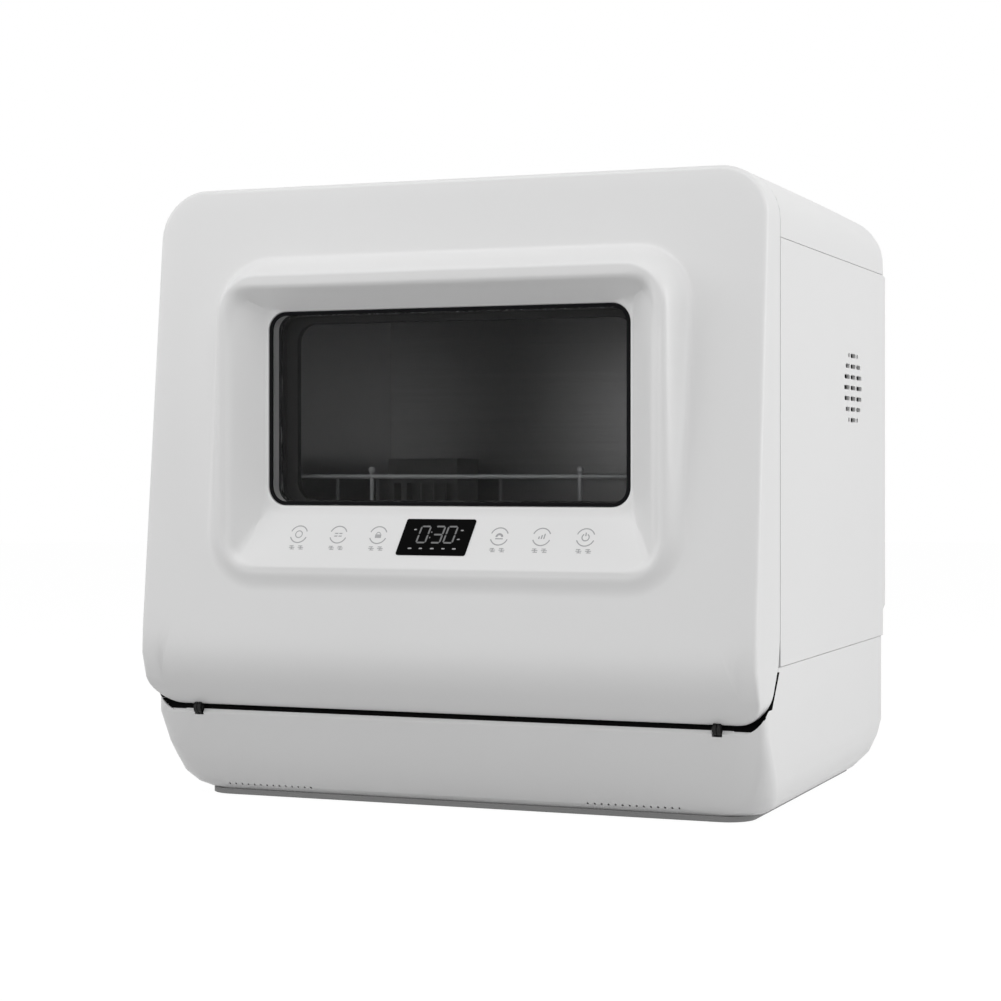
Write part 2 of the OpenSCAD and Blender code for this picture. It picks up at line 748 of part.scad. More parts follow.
// Water tank behind the chamber, filled through the port in the top
tank_left = 22 - half_w;
tank_right = half_w - 115;
tank_bottom = bulge_z + 3;
module tank_outline(t) {
    y0 = tub_back + tub_wall + 1 + t;
    polygon([
        [y0, tank_bottom + t],
        [flat_back_y - wall - 1 - t, tank_bottom + t],
        [flat_back_y - wall - 1 - t, bulge_z + 8 + t],
        [back_y - wall - 1 - t, bulge_z + 14 + t],
        [back_y - wall - 1 - t, top_seam_z - 16 - t],
        [flat_back_y - wall - 1 - t, top_seam_z - 12 - t],
        [y0, top_seam_z - 12 - t]
    ]);
}
module water_tank() {
    color("gainsboro") difference() {
        union() {
            span_x(tank_left, tank_right) tank_outline(0);
            block(fill_x - 16, fill_x + 16, neck_y0, neck_y1, top_seam_z - 14, neck_z - set_gap);
        }
        span_x(tank_left + 2, tank_right - 2) tank_outline(2);
        block(fill_x - 14, fill_x + 14, neck_y0 + 2, neck_y1 - 2, top_seam_z - 15, neck_z + 1);
    }
}

// Fill port: a collar in the top cover, a bowl and a chute to the tank
port_top = top_at(fill_y) + 1;
bowl_z = ceiling_z + 8;
// Closed channel from the bowl back and down into the tank's neck
neck_y0 = tub_back + tub_wall + 1;
neck_y1 = neck_y0 + 18;
neck_z = ceiling_z + 1;
module chute(w, t) {
    span_x(fill_x - w, fill_x + w) polygon([
        [fill_y, bowl_z + t],
        [neck_y0 + t, bowl_z + t],
        [neck_y0 + t, neck_z - t],
        [neck_y1 - t, neck_z - t],
        [neck_y1 - t, neck_z + 4 - t / 2],
        [neck_y0 - 2, bowl_z + 12 - t],
        [fill_y, bowl_z + 12 - t]
    ]);
}
module fill_port() {
    color("gainsboro") difference() {
        union() {
            rod_z(bowl_z, port_top, fill_x, fill_y, fill_r + 3);
            rod_z(top_at(fill_y) - wall - 3, port_top, fill_x, fill_y, fill_r + 6);
            chute(16, 0);
            rod_z(ceiling_z + tub_wall, bowl_z + 1, fill_x, fill_y, 8);
        }
        rod_z(bowl_z + 2, port_top + 1, fill_x, fill_y, fill_r);
        chute(14, 2);
        rod_z(port_top - 3, port_top + 1, fill_x, fill_y, fill_r + 2 + run_gap);
        block(fill_x - 9, fill_x + 9, fill_y + fill_r - 4, fill_y + fill_r + 8, port_top - 3.2, port_top + 4);
        rod_x(fill_x - 11, fill_x + 11, lid_axis_y, lid_axis_z, 1 + pin_fit);
    }
}
lid_axis_y = fill_y + fill_r + 3;
lid_axis_z = port_top - 1.5;
module fill_lid() {
    color("whitesmoke") union() {
        rod_z(port_top - 3 + run_gap, port_top - 0.4, fill_x, fill_y, fill_r + 2);
        block(fill_x - 8, fill_x + 8, fill_y + fill_r - 6, lid_axis_y, port_top - 2.6, port_top - 0.4);
        rod_x(fill_x - 8, fill_x + 8, lid_axis_y, lid_axis_z, 1.4);
        rod_x(fill_x - 10.5, fill_x + 10.5, lid_axis_y, lid_axis_z, 1);
    }
}

// Drying fan between the chamber and the right side's vent
fan_r = 25;
fan_x0 = tub_half + tub_wall + set_gap;
fan_x1 = half_w - wall - 1;
module fan_housing() {
    s = fan_r + 5;
    color("black") difference() {
        block(fan_x0, fan_x1, vent_y - s, vent_y + s, vent_z - s, vent_z + s);
        rod_x(fan_x0 + 4, fan_x1 + 1, vent_y, vent_z, fan_r + 2);
        for (dz = [-16, 0, 16]) {
            rod_x(fan_x0 - 1, fan_x0 + 5, vent_y + dz, vent_z, 4);
        }
    }
}
module fan_rotor() {
    x0 = fan_x0 + 4 + 2 * run_gap;
    color("dimgray") union() {
        rod_x(x0, fan_x1 - 3, vent_y, vent_z, 8);
        for (i = [0:6]) {
            translate([x0 + 4, vent_y, vent_z]) rotate([i * 360 / 7, 0, 0]) rotate([0, 0, 24])
                block(-1, 1, -5, 5, 7, fan_r - 2);
        }
    }
}
module power_board() {
    y0 = seam_y + 70;
    color("darkgreen") union() {
        block(half_w - 120, half_w - 40, y0, y0 + 90, plinth_h + wall + 6, plinth_h + wall + 7.6);
        for (x = [half_w - 112, half_w - 48], y = [y0 + 8, y0 + 82]) {
            rod_z(plinth_h + wall, plinth_h + wall + 6.5, x, y, 3);
        }
        block(half_w - 105, half_w - 80, y0 + 20, y0 + 50, plinth_h + wall + 7, plinth_h + wall + 28);
        rod_z(plinth_h + wall + 7, plinth_h + wall + 30, half_w - 60, y0 + 60, 9);
    }
}

// Hinge: a fixed bracket with a pin each side, and an arm on the door
module hinge_brackets() {
    x0 = hinge_x + 3;
    color("silver") both_sides() difference() {
        union() {
            rod_x(x0, x0 + hinge_plate_t, hinge_y, hinge_z, hinge_eye_r);
            span_x(x0, x0 + hinge_plate_t) polygon([
                [hinge_y - 0.5, hinge_z - 4.1],
                [hinge_y + 3.8, hinge_z - 1],
                [lip_y + 14, lip_z - 4],
                [lip_y + skirt_slant + 44, plinth_h + wall],
                [lip_y + skirt_slant + 32, plinth_h + wall],
                [lip_y + 8.5, lip_z - 7],
                [lip_y + 4.6, hinge_z - 4.6]
            ]);
        }
        rod_x(x0 - 1, x0 + hinge_plate_t + 1, hinge_y, hinge_z, hinge_pin_r);
    }
}
module hinge_pins() {
    color("dimgray") both_sides()
        rod_x(hinge_x - 1, hinge_x + 3 + hinge_plate_t, hinge_y, hinge_z, hinge_pin_r);
}
module hinge_arms() {
    x1 = hinge_x + 2.6;
    x0 = x1 - hinge_plate_t;
    color("silver") both_sides() difference() {
        union() {
            rod_x(x0, x1, hinge_y, hinge_z, hinge_eye_r);
            span_x(x0, x1) polygon([
                [hinge_y - 2.8, hinge_z + 1],
                [hinge_y + 3.4, hinge_z + 1],
                [seam_y - liner_t - 6, belly_z + 6],
                [seam_y - liner_t - 0.4, belly_z + 12],
                [seam_y - liner_t - 0.4, belly_z + 62],
                [seam_y - liner_t - 14, belly_z + 62],
                [seam_y - liner_t - 16, belly_z + 14]
            ]);
        }
        rod_x(x0 - 1, x1 + 1, hinge_y, hinge_z, hinge_pin_r + pin_fit);
    }
}

// Door lock above the mouth: the strike on the door enters it and the bolt crosses the strike
strike_z = ceiling_z + tub_wall + 12;
strike_half = 5;
strike_hole_y = tub_y + 14;
lock_x = half_w - 135;
module door_strike() {
    color("silver") difference() {
        union() {
            span_x(lock_x - 1.5, lock_x + 1.5)
                plate(seam_y - liner_t - 2, tub_y + 20, strike_z - strike_half, strike_z + strike_half, 1.5);
            block(lock_x - 9, lock_x + 9, seam_y - liner_t - 2, seam_y - liner_t, strike_z - 7, strike_z + 7);
        }
        block(lock_x - 2, lock_x + 2, strike_hole_y - 4, strike_hole_y + 3.4, strike_z - 3, strike_z + 3);
    }
}
module lock_housing() {
    color("gray") difference() {
        block(lock_x - 30, lock_x + 14, tub_y, tub_y + 26, ceiling_z + tub_wall, strike_z + 8);
        block(lock_x - 4, lock_x + 4, tub_y - 1, tub_y + 24, strike_z - strike_half - 1.2, body_h);
        rod_x(lock_x - 27, lock_x + 12, strike_hole_y, strike_z, 2.4 + pin_fit);
    }
}
module lock_bolt() {
    color("silver") rod_x(lock_x - 22, lock_x - 4.5, strike_hole_y, strike_z, 2.4);
}

// Float that stops the filling
float_x = tub_half - 34;
float_y = tub_y + 64;
module float() {
    color("whitesmoke") union() {
        rod_z(floor_z + 0.3, floor_z + 9, float_x, float_y, 9);
        rod_z(floor_z - 20, floor_z + 1, float_x, float_y, 3);
    }
}

// Door: outer form, inset by t
module door_side(t) {
    c = [belly_y + belly_r, belly_z];
    r = belly_r - t;
    chin = 48;
    p = c + r * [-cos(chin), -sin(chin)];
    zb = door_z + t;
    yb = p.x + (p.y - zb) * tan(chin);
    top = body_h - t;
    lean_top = c.x - r * cos(door_lean) + (top - c.y - r * sin(door_lean)) * tan(door_lean);
    polygon(concat(
        arc(c, r, 180 - door_lean, 180, 3),
        arc(c, r, 180 + chin / 10, 180 + chin, 9),
        [[yb, zb], [seam_y + (t > 0 ? 1 : 0), belly_z + t]],
        [[seam_y + (t > 0 ? 1 : 0), top]],
        corner([seam_y, top], [lean_top, top], [c.x - r * cos(door_lean), c.y + r * sin(door_lean)], 9 - t, 6)
    ));
}
module door_form(t) {
    intersection() {
        span_x(-half_w, half_w) door_side(t);
        span_y(front_y, seam_y + 1)
            plate(t - half_w, half_w - t, door_z + t, body_h - t, door_corner_r - t, top_corner_r - t);
    }
}
// Hood round the window, inset by t
module hood_plate(y, w, z0, z1, r) {
    span_y(y, y + 0.01) plate(-w, w, z0, z1, r);
}
module hood_form(t) {
    w = hood_half - t;
    hull($fn = 32) {
        hood_plate(crest_y + t, w - 11, hood_bottom + 6 + t, hood_top - 8 - t, 24);
        hood_plate(crest_y + 2 + t, w - 6, hood_bottom + 3 + t, hood_top - 4.5 - t, 28);
        hood_plate(crest_y + 6 + t, w - 1.5, hood_bottom + t, hood_top - 1.5 - t, 32);
        hood_plate(face_at(hood_top) + 12, w + 5, hood_bottom - 4 + t, hood_top + 5 - t, 36);
    }
}
// Dish inside the hood, deepest at the window, with the controls' slope as its lower side
module recess_form(t) {
    hull($fn = 32) {
        hood_plate(slope_y0 + t * 0.6, recess_half + 1 + t, slope_z0 - t, recess_top + 1 + t, 22 + t);
        hood_plate(slope_y1 + t, window_half + 2.5 + t * 0.6, slope_z1 - t * 0.6, window_top + 2 + t * 0.6, window_r + 2 + t);
    }
}
glass_y = pane_y + panel_wall + set_gap;
module door_shell() {
    color("white") difference() {
        union() {
            door_form(0);
            hood_form(0);
        }
        recess_form(0);
        difference() {
            union() {
                door_form(wall);
                hood_form(wall);
            }
            recess_form(panel_wall);
        }
        block(-half_w - 1, half_w + 1, seam_y - 0.001, seam_y + 60, 0, body_h + 1);
        span_y(crest_y, seam_y) plate(-window_half, window_half, window_z, window_top, window_r);
        display_cut(0.15);
        both_sides() block(hinge_x - 1, hinge_x + 8, hinge_y - 8, seam_y - liner_t - 5, door_z - 2, belly_z + 4);
    }
}
module window_trim() {
    w = window_half - set_gap;
    z0 = window_z + set_gap;
    z1 = window_top - set_gap;
    color("black") difference() {
        span_y(pane_y + 0.6, glass_y - set_gap) plate(-w, w, z0, z1, window_r - 0.2);
        span_y(pane_y - 1, glass_y) plate(5 - w, w - 5, z0 + 5, z1 - 5, window_r - 4);
    }
}
module glass_outline(m) {
    plate(-window_half - m, window_half + m, window_z - m, window_top + m, window_r + m);
}
module window_glass() {
    color("dimgray", 0.5) span_y(glass_y, glass_y + glass_t) glass_outline(6);
}
module inner_glass() {
    y1 = seam_y - liner_t - set_gap;
    color("lightgray", 0.4) span_y(y1 - glass_t, y1) glass_outline(6);
}
module liner_outline() {
    w = half_w - wall - set_gap;
    plate(-w, w, belly_z + wall + set_gap, body_h - wall - set_gap, 6, top_corner_r - wall);
}
cup_x0 = 24;
cup_x1 = 94;
cup_z0 = mouth_z + 20;
cup_z1 = cup_z0 + 46;
module door_liner() {
    color("gainsboro") difference() {
        span_y(seam_y - liner_t, seam_y) liner_outline();
        span_y(seam_y - liner_t - 1, seam_y + 1) glass_outline(-1);
        block(cup_x0 - 1 - set_gap, cup_x1 + 1 + set_gap, seam_y - 10, seam_y + 1, cup_z0 - 1 - set_gap, cup_z1 + 1 + set_gap);
        block(lock_x - 1.5 - set_gap, lock_x + 1.5 + set_gap, seam_y - 10, seam_y + 1,
            strike_z - strike_half - set_gap, strike_z + strike_half + set_gap);
        both_sides() span_y(seam_y - liner_t - 1, seam_y - 0.8) plate(half_w - 34, half_w - 26, belly_z + 20, belly_z + 60, 3);
    }
}

// Display lens and touch panel under the window
display_z = window_z - 21;
display_x = -2;
display_half = 25.5;
display_h = 27;
display_slant = 5.2;
display_y = slope_y0 + (display_z - slope_z0) * tan(slope_tilt);
module display_outline(g) {
    translate([display_x, 0]) polygon([
        [-display_half - display_slant / 2 - g, -display_h / 2 - g],
        [display_half - display_slant / 2 + g, -display_h / 2 - g],
        [display_half + display_slant / 2 + g, display_h / 2 + g],
        [-display_half + display_slant / 2 - g, display_h / 2 + g]
    ]);
}
// Places a flat outline on the controls' slope
module on_slope(y0, y1) {
    translate([0, display_y, display_z]) rotate([-slope_tilt, 0, 0]) translate([0, y1, 0]) rotate([90, 0, 0])
        linear_extrude(y1 - y0) children();
}
module display_cut(g) {
    on_slope(-6, 8) display_outline(g);
}
module display_window() {
    color("black") on_slope(-0.6, 6) display_outline(0);
}
module control_board() {
    color("darkgreen") union() {
        on_slope(6.2, 7.8) square([window_w - 31, 26], center = true);
    }
}
mark_xs = [window_half - 88.9, window_half - 58.7, window_half - 27.8];
module touch_marks() {
    color("gray") for (s = [-1, 1], x = mark_xs) {
        on_slope(-0.4, -0.01) translate([s * x, 2]) difference() {
            circle(r = 6.4);
            circle(r = 5.6);
        }
    }
}

// Detergent cup in the door's inner panel, with a lid that slides aside
module detergent_cup() {
    color("lightgray") difference() {
        block(cup_x0 - 1, cup_x1 + 1, seam_y - 26, seam_y - 0.2, cup_z0 - 1, cup_z1 + 1);
        block(cup_x0 + 1, cup_x1 - 1, seam_y - 24, seam_y + 1, cup_z0 + 1, cup_z1 - 1);
    }
}
module detergent_lid() {
    color("whitesmoke") union() {
        block(cup_x0, cup_x1, seam_y + run_gap, seam_y + run_gap + 2, cup_z0, cup_z1);
        block(cup_x0 + 2, cup_x0 + 6, seam_y + run_gap + 1, seam_y + run_gap + 4, cup_z0 + 8, cup_z1 - 8);
    }
}

// Rack: bent wire in square section, with tines, glides and a cutlery basket
module wire_ring(x, y0, y1, z, r) {
    span_z(z - wire, z + wire) difference() {
        plate(-x - wire, x + wire, y0 - wire, y1 + wire, r + wire);
        plate(wire - x, x - wire, y0 + wire, y1 - wire, r - wire);
    }
}
module rack_frame() {
    y0 = rack_front;
    low = rack_front + 10;
    color("silver") union() {
        wire_ring(rack_half, y0, rack_back, rail_z, 18);
        wire_ring(rack_half, y0, rack_back, rail_mid + glide_h, 18);
        wire_ring(rack_half - 8, low, rack_back - 8, rack_z, 18);
        for (i = [-5:5]) {
            x = i * (rack_half - 8) / 6;
            block(x - wire, x + wire, low, rack_back - 8, rack_z - wire - 0.6, rack_z + wire - 0.6);
        }
        for (i = [1:3]) {
            y = low + i * (rack_back - 8 - low) / 4;
            block(8 - rack_half, rack_half - 8, y - wire, y + wire, rack_z - wire - 1.2, rack_z + wire - 1.2);
        }
        for (x = [-stay_x, stay_x]) {
            block(x - wire, x + wire, y0 - wire, y0 + wire, rail_mid + glide_h, rail_z + 6);
            block(x - wire, x + wire, rack_back - wire, rack_back + wire, rail_mid + glide_h, rail_z + 1);
        }
        both_sides() for (y = [low + 40, (low + rack_back) / 2, rack_back - 50]) {
            block(rack_half - wire, rack_half + wire, y - wire, y + wire, rail_mid + glide_h, rail_z);
            block(rack_half - 8 - wire, rack_half - 8 + wire, y - wire, y + wire, rack_z, rail_mid + glide_h + wire);
            block(rack_half - 8 - wire, rack_half, y - wire, y + wire, rail_mid + glide_h - wire, rail_mid + glide_h + wire);
        }
        for (x = [-stay_x, stay_x], y = [y0, rack_back]) {
            inner = y == y0 ? y + 10 : y - 8;
            block(x - wire, x + wire, inner - wire, inner + wire, rack_z, rail_mid + glide_h + wire);
            block(x - wire, x + wire, min(y, inner) - wire, max(y, inner) + wire, rail_mid + glide_h - wire, rail_mid + glide_h + wire);
        }
    }
}
tine_rows = [hub_y - 0.187 * chamber_d, hub_y + 0.1223 * chamber_d];
module rack_tines() {
    pitch = (2 * rack_half - 60) / (tine_count + 1);
    color("whitesmoke") for (y = tine_rows) {
        block(24 - rack_half, rack_half - 24, y - wire, y + wire, rack_z + wire - 0.6, rack_z + 3 * wire);
        for (i = [1:tine_count]) {
            x = i * pitch + 30 - rack_half;
            rod_z(rack_z + 2 * wire, rack_z + tine_h, x, y, wire);
            translate([x, y, rack_z + tine_h]) sphere(r = wire + 0.5);
        }
    }
}
module rack_glides() {
    x0 = rack_half + wire;
    x1 = tub_half - 3 - run_gap;
    color("gray") both_sides() for (y = [rack_back - 84, rack_back - 30]) {
        block(x0, x1, y - 14, y + 14, rail_mid - glide_h / 2, rail_mid + glide_h / 2);
        block(x0, x0 + 3, y - 14, y + 14, rail_mid - glide_h / 2, rail_mid + glide_h + wire);
    }
}
basket_x0 = -rack_half + 14;
basket_w = 60;
basket_y1 = rack_back - 16;
basket_d = 44;
basket_z = rack_z + wire - 0.3;
module cutlery_basket() {
    x0 = basket_x0;
    x1 = x0 + basket_w;
    y0 = basket_y1 - basket_d;
    color("gray") difference() {
        block(x0, x1, y0, basket_y1, basket_z, rail_z + 14);
        block(x0 + 2, x1 - 2, y0 + 2, basket_y1 - 2, basket_z + 2, rail_z + 20);
        for (i = [0:4], j = [0:3]) {
            block(x0 + 5 + i * 11, x0 + 11 + i * 11, y0 - 1, basket_y1 + 1, basket_z + 8 + j * 20, basket_z + 22 + j * 20);
        }
    }
}

base_tray();
deck_strip();
plinth();
feet();
side_panel_left();
side_panel_right();
top_cover();
rear_cover();
front_frame();
tub();
door_seal();
rack_rails();
sump();
filter_plate();
filter_cup();
heater();
spray_hub();
spray_arm();
top_nozzle();
wash_pump();
wash_impeller();
drain_pump();
drain_impeller();
pump_hoses();
inlet_valve();
drain_outlet();
water_tank();
fill_port();
fill_lid();
fan_housing();
fan_rotor();
power_board();
cable_gland();
hinge_brackets();
hinge_pins();
lock_housing();
lock_bolt();
float();
screws();
door_shell();
window_trim();
window_glass();
door_liner();
inner_glass();
display_window();
control_board();
touch_marks();
door_strike();
detergent_cup();
detergent_lid();
hinge_arms();
rack_frame();
rack_tines();
rack_glides();
cutlery_basket();
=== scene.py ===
import bpy
import bmesh
import json
import math
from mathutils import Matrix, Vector


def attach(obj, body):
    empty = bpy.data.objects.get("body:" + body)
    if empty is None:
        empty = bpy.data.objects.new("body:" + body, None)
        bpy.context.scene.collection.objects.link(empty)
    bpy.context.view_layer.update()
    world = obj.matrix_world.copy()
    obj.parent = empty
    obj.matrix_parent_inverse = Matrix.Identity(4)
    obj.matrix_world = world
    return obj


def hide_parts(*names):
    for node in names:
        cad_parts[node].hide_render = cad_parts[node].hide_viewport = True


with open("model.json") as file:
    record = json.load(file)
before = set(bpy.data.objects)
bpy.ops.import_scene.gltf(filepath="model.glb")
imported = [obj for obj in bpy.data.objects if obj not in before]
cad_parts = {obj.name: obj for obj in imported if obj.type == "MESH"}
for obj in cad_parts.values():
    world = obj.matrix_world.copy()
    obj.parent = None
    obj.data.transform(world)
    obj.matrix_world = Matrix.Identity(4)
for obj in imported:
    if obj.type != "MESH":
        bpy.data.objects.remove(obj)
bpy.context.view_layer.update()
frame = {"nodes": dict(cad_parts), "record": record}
print("frame loaded:", len(frame["nodes"]), "nodes")

# The dictionaries and the meshes are in millimetres, and settlePiece turns them into metres.

mouldedFinishes = {  # finish: material, tone, roughness, grain, depth of the grain (m), cloud, drift, shine
    "shell": ("shellWhite", (0.80, 0.80, 0.80), 0.40, 1400, 0.00002, 5, 0.012, 0.5),
    "inner": ("innerGrey", (0.50, 0.50, 0.505), 0.55, 1100, 0.00004, 12, 0.04, 0.5),
    "plinth": ("plinthGrey", (0.26, 0.26, 0.26), 0.6, 900, 0.00006, 12, 0.06, 0.5),
    "black": ("blackMatte", (0.022, 0.022, 0.023), 0.6, 900, 0.00006, 14, 0.15, 0.5),
    "gasket": ("paleGasket", (0.86, 0.86, 0.86), 0.4, 900, 0.00003, 14, 0.05, 0.5),
    "basket": ("basketGrey", (0.34, 0.34, 0.345), 0.5, 900, 0.00005, 16, 0.06, 0.5),
    # the strip finish: near-black and without shine; on the deck strip it is the black rubber, darkened
    # further as painted shade of the gap under the door, and on the gap sheets it is painted shade only
    "strip": ("deckBlack", (0.004, 0.004, 0.004), 0.9, 700, 0.00005, 20, 0.2, 0.05),
    "gloss": ("blackGloss", (0.006, 0.006, 0.007), 0.12, 300, 0.00001, 10, 0.1, 0.05),
    "lens": ("lensBlack", (0.0012, 0.0012, 0.0012), 0.2, 300, 0.00001, 10, 0.1, 0.02),
    "rubber": ("rubberGrey", (0.16, 0.16, 0.165), 0.75, 1500, 0.00008, 20, 0.1, 0.5),
    "tank": ("tankWhite", (0.74, 0.76, 0.77), 0.5, 700, 0.00005, 14, 0.05, 0.5),
    "board": ("boardGreen", (0.03, 0.13, 0.06), 0.4, 600, 0.00008, 60, 0.3, 0.5),
    "rotor": ("rotorOrange", (0.62, 0.28, 0.07), 0.5, 900, 0.00005, 30, 0.1, 0.5),
    "mark": ("markGrey", (0.40, 0.40, 0.41), 0.5, 1500, 0.00001, 90, 0.1, 0.5),
    "wire": ("wireCoat", (0.60, 0.61, 0.62), 0.33, 1200, 0.00003, 30, 0.05, 0.5),
}
brushedFinishes = {  # finish: material, tone, roughness, scale of the scratches along x, y and z
    "sheet": ("chamberSteel", (0.56, 0.56, 0.56), 0.32, (4, 1000, 1000)),
    "bright": ("brightSteel", (0.56, 0.56, 0.56), 0.26, (700, 700, 30)),
    # hinge: steel darkened to near black as painted shade, so the hinge parts merge with the shaded gap
    # under the door
    "hinge": ("hingeSteel", (0.03, 0.03, 0.03), 0.6, (700, 700, 30)),
}
glassFinishes = {  # finish: material, tint, roughness, refraction
    "smoked": ("smokedGlass", (0.62, 0.62, 0.62), 0.015, 1.15),
    "clear": ("clearGlass", (0.87, 0.87, 0.87), 0.01, 1.08),
}
litFinishes = {  # finish: material, tone, strength of the light
    "glow": ("displayGlow", (0.12, 0.12, 0.122), 0.30),
}


def nodeMaker(tree):
    tree.nodes.clear()

    def make(kind, **values):
        node = tree.nodes.new(kind)
        for key, value in values.items():
            if key in node.inputs:
                node.inputs[key].default_value = value
            else:
                setattr(node, key, value)
        return node
    return make


def startMaterial(name):
    # an empty material, the two node tools and its Object coordinates
    mat = bpy.data.materials.new(name)
    mat.use_nodes = True
    make = nodeMaker(mat.node_tree)
    return mat, make, mat.node_tree.links.new, make("ShaderNodeTexCoord").outputs["Object"]


def toneRamp(make, link, source, tone, share, low=0.0, high=1.0):
    # from a share of the tone up to the whole tone
    ramp = make("ShaderNodeValToRGB")
    ends = ramp.color_ramp.elements
    ends[0].position, ends[1].position = low, high
    ends[0].color = (*[c * share for c in tone], 1)
    ends[1].color = (*tone, 1)
    link(source, ramp.inputs["Fac"])
    return ramp.outputs["Color"]


def wander(make, link, source, low, high):
    spread = make("ShaderNodeMapRange", **{"To Min": low, "To Max": high})
    link(source, spread.inputs["Value"])
    return spread.outputs["Result"]


def bumpOf(make, link, source, strength, depth):
    bump = make("ShaderNodeBump", Strength=strength, Distance=depth)
    link(source, bump.inputs["Height"])
    return bump.outputs["Normal"]


def closeMaterial(mat, make, link, shader, joined):
    for name, source in joined.items():
        link(source, shader.inputs[name])
    link(shader.outputs["BSDF"], make("ShaderNodeOutputMaterial").inputs["Surface"])
    return mat


def mouldedFinish(name, tone, roughness, grain, depth, cloud, drift, shine):
    # moulded plastic or paint: slow drift of tone and roughness, with a fine grain in the bump
    mat, make, link, place = startMaterial(name)
    slow = make("ShaderNodeTexNoise", Scale=cloud, Detail=3.0, Roughness=0.5)
    fine = make("ShaderNodeTexNoise", Scale=grain, Detail=4.0, Roughness=0.6)
    for noise in (slow, fine):
        link(place, noise.inputs["Vector"])
    shader = make("ShaderNodeBsdfPrincipled", **{"Specular IOR Level": shine})
    return closeMaterial(mat, make, link, shader, {
        "Base Color": toneRamp(make, link, slow.outputs["Fac"], tone, 1 - drift, 0.35, 0.65),
        "Roughness": wander(make, link, slow.outputs["Fac"], roughness * 0.88, min(1, roughness * 1.12)),
        "Normal": bumpOf(make, link, fine.outputs["Fac"], 0.35, depth),
    })


def brushedFinish(name, tone, roughness, along):
    # rolled sheet or drawn wire: long thin scratches along one direction
    mat, make, link, place = startMaterial(name)
    stretch = make("ShaderNodeMapping", Scale=along)
    link(place, stretch.inputs["Vector"])
    lines = make("ShaderNodeTexNoise", Scale=1.0, Detail=5.0, Roughness=0.65)
    link(stretch.outputs["Vector"], lines.inputs["Vector"])
    shader = make("ShaderNodeBsdfPrincipled", Metallic=1.0)
    return closeMaterial(mat, make, link, shader, {
        "Base Color": toneRamp(make, link, lines.outputs["Fac"], tone, 0.86, 0.3, 0.7),
        "Roughness": wander(make, link, lines.outputs["Fac"], roughness * 0.8, roughness * 1.25),
        "Normal": bumpOf(make, link, lines.outputs["Fac"], 0.3, 0.00003),
    })


def glassFinish(name, tone, roughness, ior):
    # tinted pane: the faint waviness of tempered glass is in the bump
    mat, make, link, place = startMaterial(name)
    wave = make("ShaderNodeTexNoise", Scale=6.0, Detail=1.0)
    link(place, wave.inputs["Vector"])
    shader = make("ShaderNodeBsdfPrincipled", Roughness=roughness, IOR=ior)
    shader.inputs["Base Color"].default_value = (*tone, 1)
    shader.inputs["Transmission Weight"].default_value = 1.0
    waviness = bumpOf(make, link, wave.outputs["Fac"], 0.05, 0.0002)
    return closeMaterial(mat, make, link, shader, {"Normal": waviness})


def litFinish(name, tone, strength):
    # bars of the display: they shine by themselves, with a slight mottle
    mat, make, link, place = startMaterial(name)
    mottle = make("ShaderNodeTexNoise", Scale=500.0, Detail=1.0)
    link(place, mottle.inputs["Vector"])
    shader = make("ShaderNodeBsdfPrincipled", Roughness=0.5)
    shader.inputs["Emission Strength"].default_value = strength
    colour = toneRamp(make, link, mottle.outputs["Fac"], tone, 0.8)
    return closeMaterial(mat, make, link, shader, {"Base Color": colour, "Emission Color": colour})


finishes = {}
for maker, table in ((mouldedFinish, mouldedFinishes), (brushedFinish, brushedFinishes),
                     (glassFinish, glassFinishes), (litFinish, litFinishes)):
    for finish, values in table.items():
        finishes[finish] = maker(*values)
print("materials made:", len(finishes))


def settlePiece(name, bm, body, finish, hides=(), crease=30, solid=0.0, edge=0.0, steps=2):
    # makes the piece in metres, with its wall, softened edges, material and body
    bmesh.ops.scale(bm, vec=(0.001, 0.001, 0.001), verts=bm.verts)
    for face in bm.faces:
        face.smooth = True
    for side in bm.edges:
        side.smooth = len(side.link_faces) == 2 and side.calc_face_angle(0) < math.radians(crease)
    mesh = bpy.data.meshes.new(name)
    bm.to_mesh(mesh)
    bm.free()
    piece = bpy.data.objects.new(name, mesh)
    bpy.context.scene.collection.objects.link(piece)
    mesh.materials.append(finishes[finish])
    if solid:
        wall = piece.modifiers.new("wall", "SOLIDIFY")
        wall.thickness = solid * 0.001
        wall.offset = -1
        wall.use_even_offset = True
    if edge:
        soften = piece.modifiers.new("soften", "BEVEL")
        soften.width = edge * 0.001
        soften.segments = steps
        soften.limit_method = "ANGLE"
        soften.angle_limit = math.radians(crease)
        soften.harden_normals = True
    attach(piece, body)
    if hides:
        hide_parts(*hides)


def outline(x0, x1, z0, z1, lowR, topR, across=10, up=18, turn=10):
    # rounded rectangle as (x, z, inward x, inward z), with the same count whatever its size
    points = []

    def arc(cx, cz, r, start):
        for i in range(turn + 1):
            a = math.radians(start + 90 * i / turn)
            points.append((cx + r * math.cos(a), cz + r * math.sin(a), -math.cos(a), -math.sin(a)))

    def side(a, b, steps, nx, nz):
        for i in range(1, steps):
            t = i / steps
            points.append((a[0] + (b[0] - a[0]) * t, a[1] + (b[1] - a[1]) * t, nx, nz))
    arc(x0 + lowR, z0 + lowR, lowR, 180)
    side((x0 + lowR, z0), (x1 - lowR, z0), across, 0, 1)
    arc(x1 - lowR, z0 + lowR, lowR, 270)
    side((x1, z0 + lowR), (x1, z1 - topR), up, -1, 0)
    arc(x1 - topR, z1 - topR, topR, 0)
    side((x1 - topR, z1), (x0 + topR, z1), across, 0, -1)
    arc(x0 + topR, z1 - topR, topR, 90)
    side((x0, z1 - topR), (x0, z0 + lowR), up, 1, 0)
    return points


